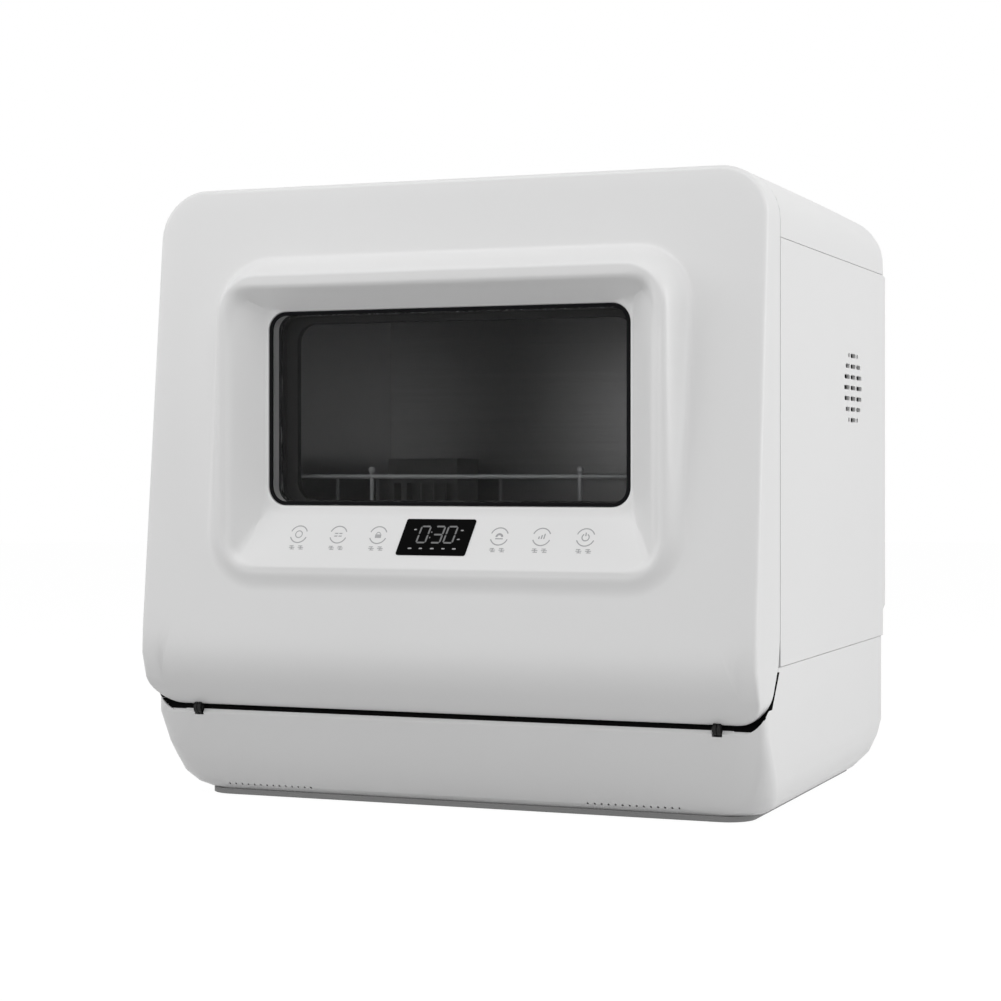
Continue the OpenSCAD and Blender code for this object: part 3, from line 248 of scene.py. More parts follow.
def nextRing(bm, ring, points):
    # extrudes the ring's edges and moves the new ring to the points
    sides = [bm.edges.get((ring[i - 1], ring[i])) for i in range(len(ring))]
    grown = bmesh.ops.extrude_edge_only(bm, edges=sides)["geom"]
    fresh = [g for g in grown if isinstance(g, bmesh.types.BMVert)]
    byPlace = {tuple(round(c, 5) for c in v.co): v for v in fresh}
    found = [byPlace[tuple(round(c, 5) for c in v.co)] for v in ring]
    for v, p in zip(found, points):
        v.co = p
    return found


def loft(bm, rings):
    # walls from ring to ring, and the first and last ring of vertices
    first = [bm.verts.new(p) for p in rings[0]]
    for i in range(len(first)):
        bm.edges.new((first[i - 1], first[i]))
    last = first
    for points in rings[1:]:
        last = nextRing(bm, last, points)
    return first, last


def cappedLoft(bm, rings):
    for end in loft(bm, rings):
        bm.faces.new(end)


def bodyOf(node):
    for body, nodes in frame["record"]["behaviour"]["bodies"].items():
        if node in nodes:
            return body


def dressNode(node, finish, edge):
    # a carried-over solid: its own shape, merged, with softened edges
    bm = bmesh.new()
    bm.from_mesh(frame["nodes"][node].data)
    bmesh.ops.scale(bm, vec=(1000, 1000, 1000), verts=bm.verts)
    bmesh.ops.remove_doubles(bm, verts=bm.verts, dist=0.005)
    bmesh.ops.dissolve_limit(bm, angle_limit=math.radians(0.6), verts=bm.verts, edges=bm.edges)
    settlePiece(node + "Dressed", bm, bodyOf(node), finish, [node], edge=edge)


def lerp(a, b, t):
    return a + (b - a) * t


def smooth(t):
    t = max(0.0, min(1.0, t))
    return t * t * (3 - 2 * t)


def lerpOutline(a, b, t):
    return [tuple(lerp(p, q, t) for p, q in zip(m, n)) for m, n in zip(a, b)]


door = {
    "half": 225.0, "low": 69.0, "top": 436.0, "lowR": 20.0, "topR": 34.0,   # outline from the front
    "bellyY": -152.5, "bellyZ": 112.0, "bellyR": 45.0, "lean": 5.75, "chin": 48.0,   # profile from the side
    "seamY": -139.0, "chinBack": 31.0, "wall": 2.5,   # back edge, how far its low end comes forward, wall
    "lipR": 1.6, "edgeR": 3.4, "edgeGrow": 46.0, "edgeSteps": 6,   # edge radius: at the lip, then higher up
    "faceInset": 13.0, "faceLow": 6.0, "faceLowR": 8.0,   # where the plain face starts
    "faceSteps": (0.0, 0.07, 0.14, 0.21, 0.28, 0.35, 0.42, 0.5, 0.6, 0.7, 0.8, 0.9, 0.96),
}
hood = {
    "footHalf": 176.0, "footLow": 151.5, "footTop": 386.5, "footR": 40.0,   # where it leaves the plain face
    "riseSteps": (0.0, 0.08, 0.17, 0.27, 0.38, 0.5, 0.62, 0.73, 0.83, 0.92, 1.0),
    "crestHalf": 163.0, "crestLow": 164.6, "crestTop": 370.2, "crestR": 28.0,   # its foremost line
    "crestY": -196.3, "crestLean": -0.006,
    "groove": 1.5, "grooveX": 130.0, "grooveLow": 168.0, "grooveTop": 352.0, "grooveFade": 26.0,
    "grooveSteps": (   # share of the way from the crest to the dish, share of the groove's depth
        (0.1, 0.0), (0.22, 0.1), (0.34, 0.5), (0.47, 0.9), (0.6, 1.0), (0.74, 0.8), (0.87, 0.4), (1.0, 0.1)),
    "dishHalf": 153.0, "dishLow": 170.0, "dishTop": 358.0, "dishR": 22.0,   # where the dish starts
    "soffitOut": 5.5, "soffitLand": 1.0, "flankOut": 2.6, "flankLand": 1.5,   # planes above and beside it
    "dishSteps": (0.12, 0.25, 0.4, 0.55, 0.7, 0.85, 0.94, 1.0),
}
window = {
    "half": 133.5, "low": 211.0, "top": 346.5, "r": 13.0, "paneY": -177.5,
    "roll": 1.4, "rollShare": 0.7, "rollDeep": (0.4, 1.3, 2.4),   # the rolled edge of the opening
    "seal": (-0.25, -2.7, -176.9, -175.0),   # outwards, inwards, from y, to y
    "counts": (4, 4, 8),   # points across, upwards and round a corner of its rings
    "layerOut": 2.0,
    "layers": (  # rings round the tunnel between the panes: name, slot, finish, reach inwards, from y, to y
        ("paleGasket", "inner_grey", "gasket", 1.2, -170.6, -163.4),
        ("gasketLine", "window_black", "black", 1.6, -163.3, -160.4),
        ("steelLine", "bright_steel", "bright", 1.9, -160.3, -158.2),
        ("darkTunnel", "window_black", "black", 2.2, -158.1, -152.5),
    ),
    "mask": (10.5, 6.0, 3.4, 7.5),   # the black frame at the inner pane: left, right, low, high
    "maskOut": 4.0, "maskY": (-152.4, -146.4),
}
panel = {"y0": -199.0, "z0": 163.0, "y1": -177.5, "z1": 208.0, "displayZ": 190.0}   # the control slope


def faceY(z):
    a = math.radians(door["lean"])
    c = math.radians(door["chin"])
    tangent = door["bellyZ"] + door["bellyR"] * math.sin(a)
    chinZ = door["bellyZ"] - door["bellyR"] * math.sin(c)
    if z >= tangent:
        return door["bellyY"] - door["bellyR"] * math.cos(a) + (z - tangent) * math.tan(a)
    if z >= chinZ:
        return door["bellyY"] - math.sqrt(door["bellyR"] ** 2 - (z - door["bellyZ"]) ** 2)
    return door["bellyY"] - door["bellyR"] * math.cos(c) + (chinZ - z) * math.tan(c)


def backY(z):
    # upright above the belly's middle, slanting forward below it
    below = max(door["bellyZ"] - z, 0)
    return door["seamY"] - below * door["chinBack"] / (door["bellyZ"] - door["low"])


def crestY(z):
    return hood["crestY"] + (z - hood["crestLow"]) * hood["crestLean"]


def slopeY(z):
    return panel["y0"] + (z - panel["z0"]) * (panel["y1"] - panel["y0"]) / (panel["z1"] - panel["z0"])


def edgeRadius(z):
    return lerp(door["lipR"], door["edgeR"], smooth((z - door["low"]) / door["edgeGrow"]))


def grooveShare(x, z):
    # 1 at the sides of the hood, fading to 0 along its top and bottom
    h = hood
    if abs(x) <= h["grooveX"]:
        return 0.0
    return smooth((z - h["grooveLow"]) / h["grooveFade"]) * smooth((h["grooveTop"] - z) / h["grooveFade"])


def dishY(x, z):
    # four planes that meet at the window: control slope below, soffit above, a flank at each side
    h = hood
    deep, soffit, flank = window["paneY"], window["top"] + h["soffitLand"], window["half"] + h["flankLand"]
    above = lerp(deep, h["crestY"] + h["soffitOut"], (z - soffit) / (h["dishTop"] - soffit))
    beside = lerp(deep, h["crestY"] + h["flankOut"], (abs(x) - flank) / (h["dishHalf"] - flank))
    return min(deep, slopeY(z), above, beside)


def evenOutline(half, low, top, lowR, topR):
    return outline(-half, half, low, top, lowR, topR)


def makeDoorShell():
    bm = bmesh.new()
    d, h, w = door, hood, window

    # the back edge and the rounded outer edge
    rim = evenOutline(d["half"], d["low"], d["top"], d["lowR"], d["topR"])
    rings = [[(x, max(backY(z), faceY(z) + edgeRadius(z)), z) for x, z, nx, nz in rim]]
    for i in range(d["edgeSteps"] + 1):
        a = math.radians(90 * i / d["edgeSteps"])
        ring = []
        for x, z, nx, nz in rim:
            r = edgeRadius(z)
            px, pz = x + nx * r * (1 - math.cos(a)), z + nz * r * (1 - math.cos(a))
            ring.append((px, faceY(pz) + r * (1 - math.sin(a)), pz))
        rings.append(ring)

    # the plain face, then the slope up to the hood's crest
    i = d["faceInset"]
    faceLow, faceLowR = d["low"] + d["faceLow"], d["lowR"] - d["faceLowR"]
    face = evenOutline(d["half"] - i, faceLow, d["top"] - i, faceLowR, d["topR"] - i)
    foot = evenOutline(h["footHalf"], h["footLow"], h["footTop"], h["footR"], h["footR"])
    crest = evenOutline(h["crestHalf"], h["crestLow"], h["crestTop"], h["crestR"], h["crestR"])
    for t in d["faceSteps"]:
        rings.append([(x, faceY(z), z) for x, z, nx, nz in lerpOutline(face, foot, t)])
    for t in h["riseSteps"]:
        rise = smooth(t * 0.8 + 0.2 * t * t)   # a little slower at the foot
        shape = lerpOutline(foot, crest, t)
        rings.append([(x, lerp(faceY(z), crestY(z), rise), z) for x, z, nx, nz in shape])

    # inside the hood: a groove at the sides, then the dish down to the window and its rolled edge
    dish = evenOutline(h["dishHalf"], h["dishLow"], h["dishTop"], h["dishR"], h["dishR"])
    mouth = evenOutline(w["half"], w["low"], w["top"], w["r"], w["r"])
    g = w["roll"]
    opening = evenOutline(w["half"] + g, w["low"] - g, w["top"] + g, w["r"] + g, w["r"] + g)
    for t, share in h["grooveSteps"]:
        ring = []
        for x, z, nx, nz in lerpOutline(crest, dish, t):
            y = lerp(crestY(z), max(crestY(z), dishY(x, z)), smooth(t))
            ring.append((x, y + h["groove"] * share * grooveShare(x, z), z))
        rings.append(ring)
    for t in h["dishSteps"]:
        rings.append([(x, dishY(x, z), z) for x, z, nx, nz in lerpOutline(dish, opening, t)])
    for shape, deeper in zip((lerpOutline(opening, mouth, w["rollShare"]), mouth, mouth), w["rollDeep"]):
        rings.append([(x, w["paneY"] + deeper, z) for x, z, nx, nz in shape])
    back = loft(bm, rings)[0]

    # the slanting underside between the two lower corners
    bmesh.ops.contextual_create(bm, geom=[v for v in back if v.co.z <= d["bellyZ"] + 0.001])
    bmesh.ops.recalc_face_normals(bm, faces=bm.faces)
    settlePiece("doorShell", bm, "door", "shell", ["door_shell"], crease=40, solid=d["wall"])


makeDoorShell()
print("door shell made")


def ringPrism(bm, outer, inner, y0, y1):
    # flat ring between two outlines, from y0 to y1
    corners = ((outer, y0), (outer, y1), (inner, y1), (inner, y0))
    first, last = loft(bm, [[(x, y, z) for x, z, nx, nz in shape] for shape, y in corners])
    ends = [bm.edges.get((ring[i - 1], ring[i])) for ring in (first, last) for i in range(len(ring))]
    bmesh.ops.bridge_loops(bm, edges=ends)
    bmesh.ops.recalc_face_normals(bm, faces=bm.faces)


def windowOutline(grow):
    half, r = window["half"] + grow, window["r"] + grow
    return outline(-half, half, window["low"] - grow, window["top"] + grow, r, r, *window["counts"])


panes = {"outerY": -174.8, "innerY": -146.2, "thick": 4.0, "grow": 6.0, "arris": 0.6}


def makePane(name, y0, finish, node):
    bm = bmesh.new()
    p = panes
    wide, narrow = windowOutline(p["grow"]), windowOutline(p["grow"] - p["arris"])
    y1 = y0 + p["thick"]
    shapes = ((narrow, y0), (wide, y0 + p["arris"]), (wide, y1 - p["arris"]), (narrow, y1))
    cappedLoft(bm, [[(x, y, z) for x, z, nx, nz in shape] for shape, y in shapes])
    bmesh.ops.recalc_face_normals(bm, faces=bm.faces)
    settlePiece(name, bm, "door", finish, [node], crease=25)


makePane("outerPane", panes["outerY"], "smoked", "window_glass")
makePane("innerPane", panes["innerY"], "clear", "inner_glass")


def makeWindowSeals():
    # the lip seal in the opening, the layers of the tunnel between the panes, the inner pane's black frame
    w = window
    out, inwards, y0, y1 = w["seal"]
    bm = bmesh.new()
    ringPrism(bm, windowOutline(out), windowOutline(inwards), y0, y1)
    settlePiece("windowSeal", bm, "door", "gloss", ["window_trim"], edge=0.4, steps=3)
    for name, slotName, finish, reach, y0, y1 in w["layers"]:
        bm = bmesh.new()
        ringPrism(bm, windowOutline(w["layerOut"]), windowOutline(-reach), y0, y1)
        settlePiece(name, bm, "door", finish)
    left, right, low, high = w["mask"]
    x0, x1, z0, z1 = left - w["half"], w["half"] - right, w["low"] + low, w["top"] - high
    inner = outline(x0, x1, z0, z1, w["r"], w["r"], *w["counts"])
    bm = bmesh.new()
    ringPrism(bm, windowOutline(w["maskOut"]), inner, *w["maskY"])
    settlePiece("innerFrame", bm, "door", "black", edge=0.5)


makeWindowSeals()
print("window made")


def onSlope(u, v, out):
    # a point on the control slope: u across, v up the slope from the display's middle, out towards the user
    run = math.hypot(panel["y1"] - panel["y0"], panel["z1"] - panel["z0"])
    along = ((panel["y1"] - panel["y0"]) / run, (panel["z1"] - panel["z0"]) / run)
    z = panel["displayZ"]
    return (u, slopeY(z) + along[0] * v - along[1] * out, z + along[1] * v + along[0] * out)


def slopeShape(bm, points, low, high):
    # prism on the slope from a flat outline
    cappedLoft(bm, [[onSlope(u, v, out) for u, v in points] for out in (low, high)])


def leaningBox(half, height, slant):
    # corners of a box whose top is moved by the slant to the right of its bottom
    a, b, s = half, height / 2, slant / 2
    return [(-a - s, -b), (a - s, -b), (a + s, b), (-a + s, b)]


def roundedSlant(half, height, slant, r, steps=5):
    corners = [Vector(c) for c in leaningBox(half, height, slant)]
    points = []
    for i, b in enumerate(corners):
        a, c = corners[i - 1], corners[(i + 1) % 4]
        u, v = (a - b).normalized(), (c - b).normalized()
        halfTurn = math.acos(max(-1, min(1, u.dot(v)))) / 2
        middle = b + (u + v).normalized() * r / math.sin(halfTurn)
        p, q = b + u * r / math.tan(halfTurn) - middle, b + v * r / math.tan(halfTurn) - middle
        start = math.atan2(p.y, p.x)
        sweep = (math.atan2(q.y, q.x) - start + math.pi) % (2 * math.pi) - math.pi
        for k in range(steps + 1):
            a = start + sweep * k / steps
            points.append((middle.x + r * math.cos(a), middle.y + r * math.sin(a)))
    return points


display = {
    "x": -2.0, "half": 25.6, "height": 27.0, "slant": 4.5, "corner": 1.6, "deep": -5.0, "proud": 0.55,
    "digits": "030", "digitX": (-9.6, 1.0, 10.2), "digitV": 1.8, "digitW": 6.6, "digitH": 12.0,
    "bar": 1.15, "barThick": 0.12, "italic": 0.2, "gapH": 0.5, "gapV": 0.4,   # gaps between the bars
    "dots": ((-4.3, 3.6, 1.3, 1.2), (-4.3, -0.4, 1.3, 1.2)),   # x, v, length, width of each bar
    "marks": (
        (-16.0, -8.6, 3.0, 0.9), (-8.0, -8.6, 2.6, 0.9), (0.4, -8.6, 3.0, 0.9), (8.6, -8.6, 2.6, 0.9),
        (16.6, -8.6, 3.0, 0.9), (-17.0, 5.4, 2.2, 0.8), (17.6, 5.0, 2.2, 0.8), (17.2, -1.6, 2.2, 0.8)),
}
segments = {  # bars of a digit: middle and direction on a unit cell
    "a": (0.5, 1.0, "h"), "b": (1.0, 0.75, "v"), "c": (1.0, 0.25, "v"), "d": (0.5, 0.0, "h"),
    "e": (0.0, 0.25, "v"), "f": (0.0, 0.75, "v"), "g": (0.5, 0.5, "h"),
}
lit = {"0": "abcdef", "3": "abcdg"}


def displayBar(bm, cx, cy, length, wide, upright=False):
    # a bar with pointed ends, leaning with the display
    d = display
    a, b = length / 2, wide / 2
    hexagon = [(-a + b, -b), (a - b, -b), (a, 0), (a - b, b), (-a + b, b), (-a, 0)]
    if upright:
        hexagon = [(-q, p) for p, q in hexagon]
    points = [(d["x"] + cx + p + (cy + q) * d["italic"], cy + q) for p, q in hexagon]
    slopeShape(bm, points, d["proud"], d["proud"] + d["barThick"])


def makeDisplay():
    d = display
    bm = bmesh.new()
    lens = [(u + d["x"], v) for u, v in roundedSlant(d["half"], d["height"], d["slant"], d["corner"])]
    slopeShape(bm, lens, d["deep"], d["proud"])
    bmesh.ops.recalc_face_normals(bm, faces=bm.faces)
    settlePiece("displayLens", bm, "door", "lens", ["display_window"], edge=0.3)
    bm = bmesh.new()
    for digit, middle in zip(d["digits"], d["digitX"]):
        for key in lit[digit]:
            u, v, way = segments[key]
            x, y = middle + (u - 0.5) * d["digitW"], d["digitV"] + (v - 0.5) * d["digitH"]
            length = d["digitW"] - d["gapH"] if way == "h" else d["digitH"] / 2 - d["gapV"]
            displayBar(bm, x, y, length, d["bar"], way == "v")
    for dot in d["dots"]:
        displayBar(bm, *dot)
    settlePiece("displayDigits", bm, "door", "glow")
    bm = bmesh.new()
    for mark in d["marks"]:
        displayBar(bm, *mark)
    settlePiece("displayMarks", bm, "door", "mark")


gapShadeSheet = {  # sheets of painted shade: near-black, in the gap under the door's rounded lower corners, on the base
    "lip": (-173.0, 63.0), "seam": (-139.0, 105.0),   # the sloped deck's edges as (y, z)
    "from": 202.8, "to": 224.5, "half": 225.0, "round": 6.0,
    "low": 0.05, "high": 0.92, "off": 0.5, "thick": 0.42,   # low and high are shares of the slope
    "hornX": 205.0, "hornZ": 83.5, "hornR": 20.45, "hornY": (-171.5, -142.0),   # round the end of the deck
    "hornFrom": 276.0, "hornTo": 336.0, "hornSteps": 18, "bendSteps": 6,
}


def makeGapShade():
    # the gap is dark from shade, not from a black part: these near-black sheets paint that shade on the
    # sloped deck and round the horn
    d = gapShadeSheet
    (y0, z0), (y1, z1) = d["lip"], d["seam"]
    run = math.hypot(y1 - y0, z1 - z0)
    ny, nz = -(z1 - z0) / run * d["off"], (y1 - y0) / run * d["off"]
    bendX = d["half"] - d["round"]
    bends, turns = d["bendSteps"], d["hornSteps"]
    across = [d["from"], bendX] + [bendX + (d["to"] - bendX) * i / bends for i in range(1, bends + 1)]
    sweep = d["hornTo"] - d["hornFrom"]
    turn = [math.radians(d["hornFrom"] + sweep * i / turns) for i in range(turns + 1)]
    for side, title in ((-1, "gapShadeLeft"), (1, "gapShadeRight")):
        bm = bmesh.new()
        deck = []
        for x in across:
            back = d["round"] - math.sqrt(d["round"] ** 2 - max(x - bendX, 0) ** 2)
            row = []
            for t in (d["low"], d["high"]):
                row.append(bm.verts.new((side * x, lerp(y0, y1, t) + back + ny, lerp(z0, z1, t) + nz)))
            deck.append(row)
        horn = []
        for a in turn:
            x, z = d["hornX"] + d["hornR"] * math.cos(a), d["hornZ"] + d["hornR"] * math.sin(a)
            horn.append([bm.verts.new((side * x, y, z)) for y in d["hornY"]])
        for rows in (deck, horn):
            for (a, b), (c, e) in zip(rows, rows[1:]):
                bm.faces.new((a, c, e, b) if side > 0 else (a, b, e, c))
        # the strip finish here is painted shade for the gap
        settlePiece(title, bm, "cabinet", "strip", solid=d["thick"])


keys = {
    "at": (-105.7, -75.4, -45.2, 44.0, 74.3, 105.3),
    "signs": ("ring", "bars", "block", "dome", "steps", "power"),
    "lift": 1.2, "r": 6.7, "wide": 0.8, "low": 0.02, "thick": 0.06,
    "arcs": ((20, 140), (200, 140)),   # start and sweep of the two arcs round a sign
    "wordU": (-3.5, 3.2), "wordV": -10.0, "wordW": 4.2, "wordLines": (1.2, 0.0, -1.2),
    "wordNarrow": 0.9, "wordLean": 0.3, "lineHigh": 0.55, "stem": (0.6, 2.9),
}
signs = {  # arcs: u, v, radius, width, start, sweep, count; patches: u, v, width, height, lean
    "ring": {"arcs": ((0, 0, 2.9, 0.7, 0, 360, 24),), "patches": ()},
    "bars": {"arcs": (), "patches": (
        (-1.5, 0.9, 2.4, 0.8, 0.3), (1.7, 0.9, 2.4, 0.8, 0.3),
        (-1.7, -1.1, 2.4, 0.8, 0.3), (1.5, -1.1, 2.4, 0.8, 0.3))},
    "block": {"arcs": ((0, 0.6, 1.8, 0.6, 0, 180, 16),), "patches": ((0, -0.8, 4.6, 2.6, 0.0),)},
    "dome": {"arcs": ((0, -0.4, 2.8, 1.5, 0, 180, 20),), "patches": ((0, -1.7, 5.4, 0.8, 0.0),)},
    "steps": {"arcs": (), "patches": (
        (-1.8, -0.6, 0.9, 1.8, 0.15), (0.1, -0.1, 0.9, 2.8, 0.15), (2.0, 0.4, 0.9, 3.8, 0.15))},
    "power": {"arcs": ((0, 0, 2.9, 0.8, 120, 300, 24),), "patches": ((0, 2.2, 0.8, 2.6, 0.0),)},
}


def printedArc(bm, u, v, r, wide, start, sweep, count=40):
    # printed ring or arc on the slope, as a thin band
    steps = max(6, int(count * sweep / 360))
    for i in range(steps):
        a0, a1 = (math.radians(start + sweep * k / steps) for k in (i, i + 1))
        corners = ((r, a0), (r, a1), (r - wide, a1), (r - wide, a0))
        quad = [(u + q * math.cos(a), v + q * math.sin(a)) for q, a in corners]
        slopeShape(bm, quad, keys["low"], keys["thick"])


def printedPatch(bm, u, v, wide, high, lean=0.0):
    corners = leaningBox(wide / 2, high, high * lean)
    slopeShape(bm, [(u + p, v + q) for p, q in corners], keys["low"], keys["thick"])


def makeKeys():
    # two arcs round a plain sign, with two groups of short printed lines under each
    bm = bmesh.new()
    k = keys
    v = k["lift"]
    for u, sign in zip(k["at"], k["signs"]):
        for start, sweep in k["arcs"]:
            printedArc(bm, u, v, k["r"], k["wide"], start, sweep)
        for du, dv, *shape in signs[sign]["arcs"]:
            printedArc(bm, u + du, v + dv, *shape)
        for du, dv, *shape in signs[sign]["patches"]:
            printedPatch(bm, u + du, v + dv, *shape)
        for du in k["wordU"]:
            middle = v + k["wordV"]
            for line in k["wordLines"]:
                wide = k["wordW"] - k["wordNarrow"] * abs(line)
                printedPatch(bm, u + du - k["wordLean"] * line, middle + line, wide, k["lineHigh"])
            printedPatch(bm, u + du, middle, *k["stem"])
    bmesh.ops.recalc_face_normals(bm, faces=bm.faces)
    settlePiece("keyPrints", bm, "door", "mark", ["touch_marks"])


makeDisplay()
makeGapShade()
makeKeys()
print("controls made")


def wireRun(bm, points, r, closed=False, sides=10):
    # a round wire along its points: a circle is put across each point and joined to the next
    count = len(points)
    path = [Vector(p) for p in points]
    hoops = []
    normal = None
    for i, p in enumerate(path):
        before = path[i - 1] if i or closed else p
        after = path[(i + 1) % count] if i < count - 1 or closed else p
        way = (after - before).normalized()
        if normal is None:
            normal = way.orthogonal().normalized()
        normal = (normal - way * normal.dot(way)).normalized()
        other = way.cross(normal)
        angles = (2 * math.pi * k / sides for k in range(sides))
        hoops.append([p + (normal * math.cos(a) + other * math.sin(a)) * r for a in angles])
    if not closed:
        cappedLoft(bm, hoops)
        return
    first, last = loft(bm, hoops)

    def apart(shift):
        return sum((first[k].co - last[(k + shift) % sides].co).length for k in range(sides))
    shift = min(range(sides), key=apart)
    for k in range(sides):
        ends = (last[(k + shift) % sides], last[(k + 1 + shift) % sides], first[(k + 1) % sides], first[k])
        bm.faces.new(ends)


def bend(corners, r, steps=6, closed=False):
    # rounds the corners of a wire's path
    points = []
    count = len(corners)
    for i, b in enumerate(corners):
        b = Vector(b)
        if not closed and i in (0, count - 1):
            points.append(b)
            continue
        a, c = Vector(corners[i - 1]), Vector(corners[(i + 1) % count])
        u, v = (a - b).normalized(), (c - b).normalized()
        cut = min(r, (a - b).length * 0.49, (c - b).length * 0.49)
        for k in range(steps + 1):
            t = k / steps
            points.append(b + u * cut * (1 - t) ** 2 + v * cut * t ** 2)
    return points


rack = {
    "half": 166.0, "front": -121.5, "back": 128.5, "floor": 142.0, "rail": 231.0, "middle": 181.0,
    "floorIn": 8.0, "floorFront": 10.0, "corner": 24.0, "bend": 9.0,
    "wire": 1.6, "cross": 1.3, "ribs": 11, "ribIn": 1.2, "ribDrop": 0.7,   # ribs from front to back
    "runs": 3, "runIn": 1.0, "runDrop": 1.2, "stayX": 79.0, "stayY": 50.0,   # runs from side to side
    "stayUp": 3.4, "knobUp": 4.6, "knob": 2.6,
    "tineTop": 194.0, "tines": 9, "tineIn": 30.0, "rows": (-42.5, 43.5),
    "rowIn": 24.0, "rowUp": 2.9, "tip": 2.1, "tipUnder": 2.0,
}


def knobAt(bm, x, y, z, r, around, high):
    ball = bmesh.ops.create_uvsphere(bm, u_segments=around, v_segments=high, radius=r)
    bmesh.ops.translate(bm, vec=(x, y, z), verts=ball["verts"])


def makeRack():
    # three hoops, wires along and across the floor, stays at the hoops and knobs at the front
    r = rack
    h, f, b, floor = r["half"], r["front"], r["back"], r["floor"]
    bm = bmesh.new()
    for z, inset, front in ((r["rail"], 0, 0), (r["middle"], 0, 0), (floor, r["floorIn"], r["floorFront"])):
        x, y0, y1 = h - inset, f + front, b - inset
        loop = [(-x, y0, z), (x, y0, z), (x, y1, z), (-x, y1, z)]
        wireRun(bm, bend(loop, r["corner"], closed=True), r["wire"], closed=True)
    y0, y1 = f + r["floorFront"], b - r["floorIn"]
    ribFloor, ribTop, ribIn = floor - r["ribDrop"], r["middle"] - r["wire"], r["ribIn"]
    pitch = (h - r["floorIn"]) / (r["ribs"] + 1) * 2
    for i in range(r["ribs"]):
        x = (i - (r["ribs"] - 1) / 2) * pitch
        rib = [(x, f + ribIn, ribTop), (x, y0, ribFloor), (x, y1, ribFloor), (x, b - ribIn, ribTop)]
        wireRun(bm, bend(rib, r["bend"]), r["cross"])
    for i in range(1, r["runs"] + 1):
        y = lerp(y0, y1, i / (r["runs"] + 1))
        top, under, low = h - r["runIn"], h - r["floorIn"], floor - r["runDrop"]
        run = [(-top, y, r["middle"]), (-under, y, low), (under, y, low), (top, y, r["middle"])]
        wireRun(bm, bend(run, r["bend"]), r["cross"])
    for x in (-r["stayX"], r["stayX"]):
        wireRun(bm, [(x, f, r["middle"]), (x, f, r["rail"] + r["stayUp"])], r["wire"])
        wireRun(bm, [(x, b, r["middle"]), (x, b, r["rail"])], r["wire"])
    for x in (-h, h):
        for y in (f + r["stayY"], (f + b) / 2, b - r["stayY"]):
            wireRun(bm, [(x, y, r["middle"]), (x, y, r["rail"])], r["wire"])
    for x in (-r["stayX"], r["stayX"]):
        knobAt(bm, x, f, r["rail"] + r["knobUp"], r["knob"], 14, 8)
    bmesh.ops.recalc_face_normals(bm, faces=bm.faces)
    settlePiece("rackWires", bm, "rack", "wire", ["rack_frame"], crease=50)

    # two rows of tines, each on its own wire
    bm = bmesh.new()
    step = (2 * h - 2 * r["tineIn"]) / (r["tines"] + 1)
    rowX, rowZ = h - r["rowIn"], floor + r["rowUp"]
    for y in r["rows"]:
        wireRun(bm, [(-rowX, y, rowZ), (rowX, y, rowZ)], r["wire"])
        for i in range(1, r["tines"] + 1):
            x = i * step + r["tineIn"] - h
            wireRun(bm, [(x, y, rowZ), (x, y, r["tineTop"] - r["tipUnder"])], r["wire"], sides=8)
            knobAt(bm, x, y, r["tineTop"], r["tip"], 10, 6)
    bmesh.ops.recalc_face_normals(bm, faces=bm.faces)
    settlePiece("rackTines", bm, "rack", "wire", ["rack_tines"], crease=50)


makeRack()
print("rack made")

dressing = {  # node: finish, slot, softened edge
    "base_tray": ("shell", "shell_white", 0.5), "side_panel_left": ("shell", "shell_white", 0.4),
    "side_panel_right": ("shell", "shell_white", 0.3), "top_cover": ("shell", "shell_white", 0.5),
    "rear_cover": ("shell", "shell_white", 0.4), "plinth": ("plinth", "plinth_grey", 0.6),
    "feet": ("black", "rubber_black", 0.3), "deck_strip": ("strip", "rubber_black", 0.0),
    "front_frame": ("inner", "inner_grey", 0.3), "tub": ("sheet", "chamber_steel", 0.3),
    "door_seal": ("rubber", "rubber_grey", 0.6),
    "rack_rails": ("inner", "inner_grey", 0.3), "sump": ("black", "dark_plastic", 0.3),
    "filter_plate": ("sheet", "chamber_steel", 0.15), "filter_cup": ("inner", "inner_grey", 0.2),
    "heater": ("bright", "bright_steel", 0.0), "spray_hub": ("inner", "inner_grey", 0.3),
    "spray_arm": ("inner", "inner_grey", 0.4), "top_nozzle": ("inner", "inner_grey", 0.3),
    "wash_pump": ("black", "dark_plastic", 0.4), "wash_impeller": ("rotor", "rotor_orange", 0.2),
    "drain_pump": ("black", "dark_plastic", 0.4), "drain_impeller": ("rotor", "rotor_orange", 0.2),
    "pump_hoses": ("rubber", "rubber_black", 1.2), "inlet_valve": ("black", "dark_plastic", 0.4),
    "drain_outlet": ("black", "dark_plastic", 0.4), "water_tank": ("tank", "tank_plastic", 0.8),
    "fill_port": ("shell", "lid_white", 0.4), "fill_lid": ("shell", "lid_white", 0.4),
    "fan_housing": ("black", "dark_plastic", 0.4), "fan_rotor": ("black", "dark_plastic", 0.2),
    "power_board": ("board", "board_green", 0.1), "cable_gland": ("black", "dark_plastic", 0.4),
    "hinge_brackets": ("hinge", "bright_steel", 0.2), "hinge_pins": ("hinge", "bright_steel", 0.2),
    "lock_housing": ("black", "dark_plastic", 0.3), "lock_bolt": ("bright", "bright_steel", 0.2),
    "float": ("shell", "lid_white", 0.4), "screws": ("bright", "bright_steel", 0.3),
    "door_liner": ("inner", "inner_grey", 0.4), "control_board": ("board", "board_green", 0.1),
    "door_strike": ("bright", "bright_steel", 0.2), "detergent_cup": ("inner", "inner_grey", 0.3),
    "detergent_lid": ("shell", "lid_white", 0.4), "hinge_arms": ("hinge", "bright_steel", 0.2),
    "rack_glides": ("inner", "inner_grey", 0.3), "cutlery_basket": ("basket", "plinth_grey", 0.3),
}
for node, (finish, slotName, edge) in dressing.items():
    dressNode(node, finish, edge)
print("carried-over solids dressed:", len(dressing))

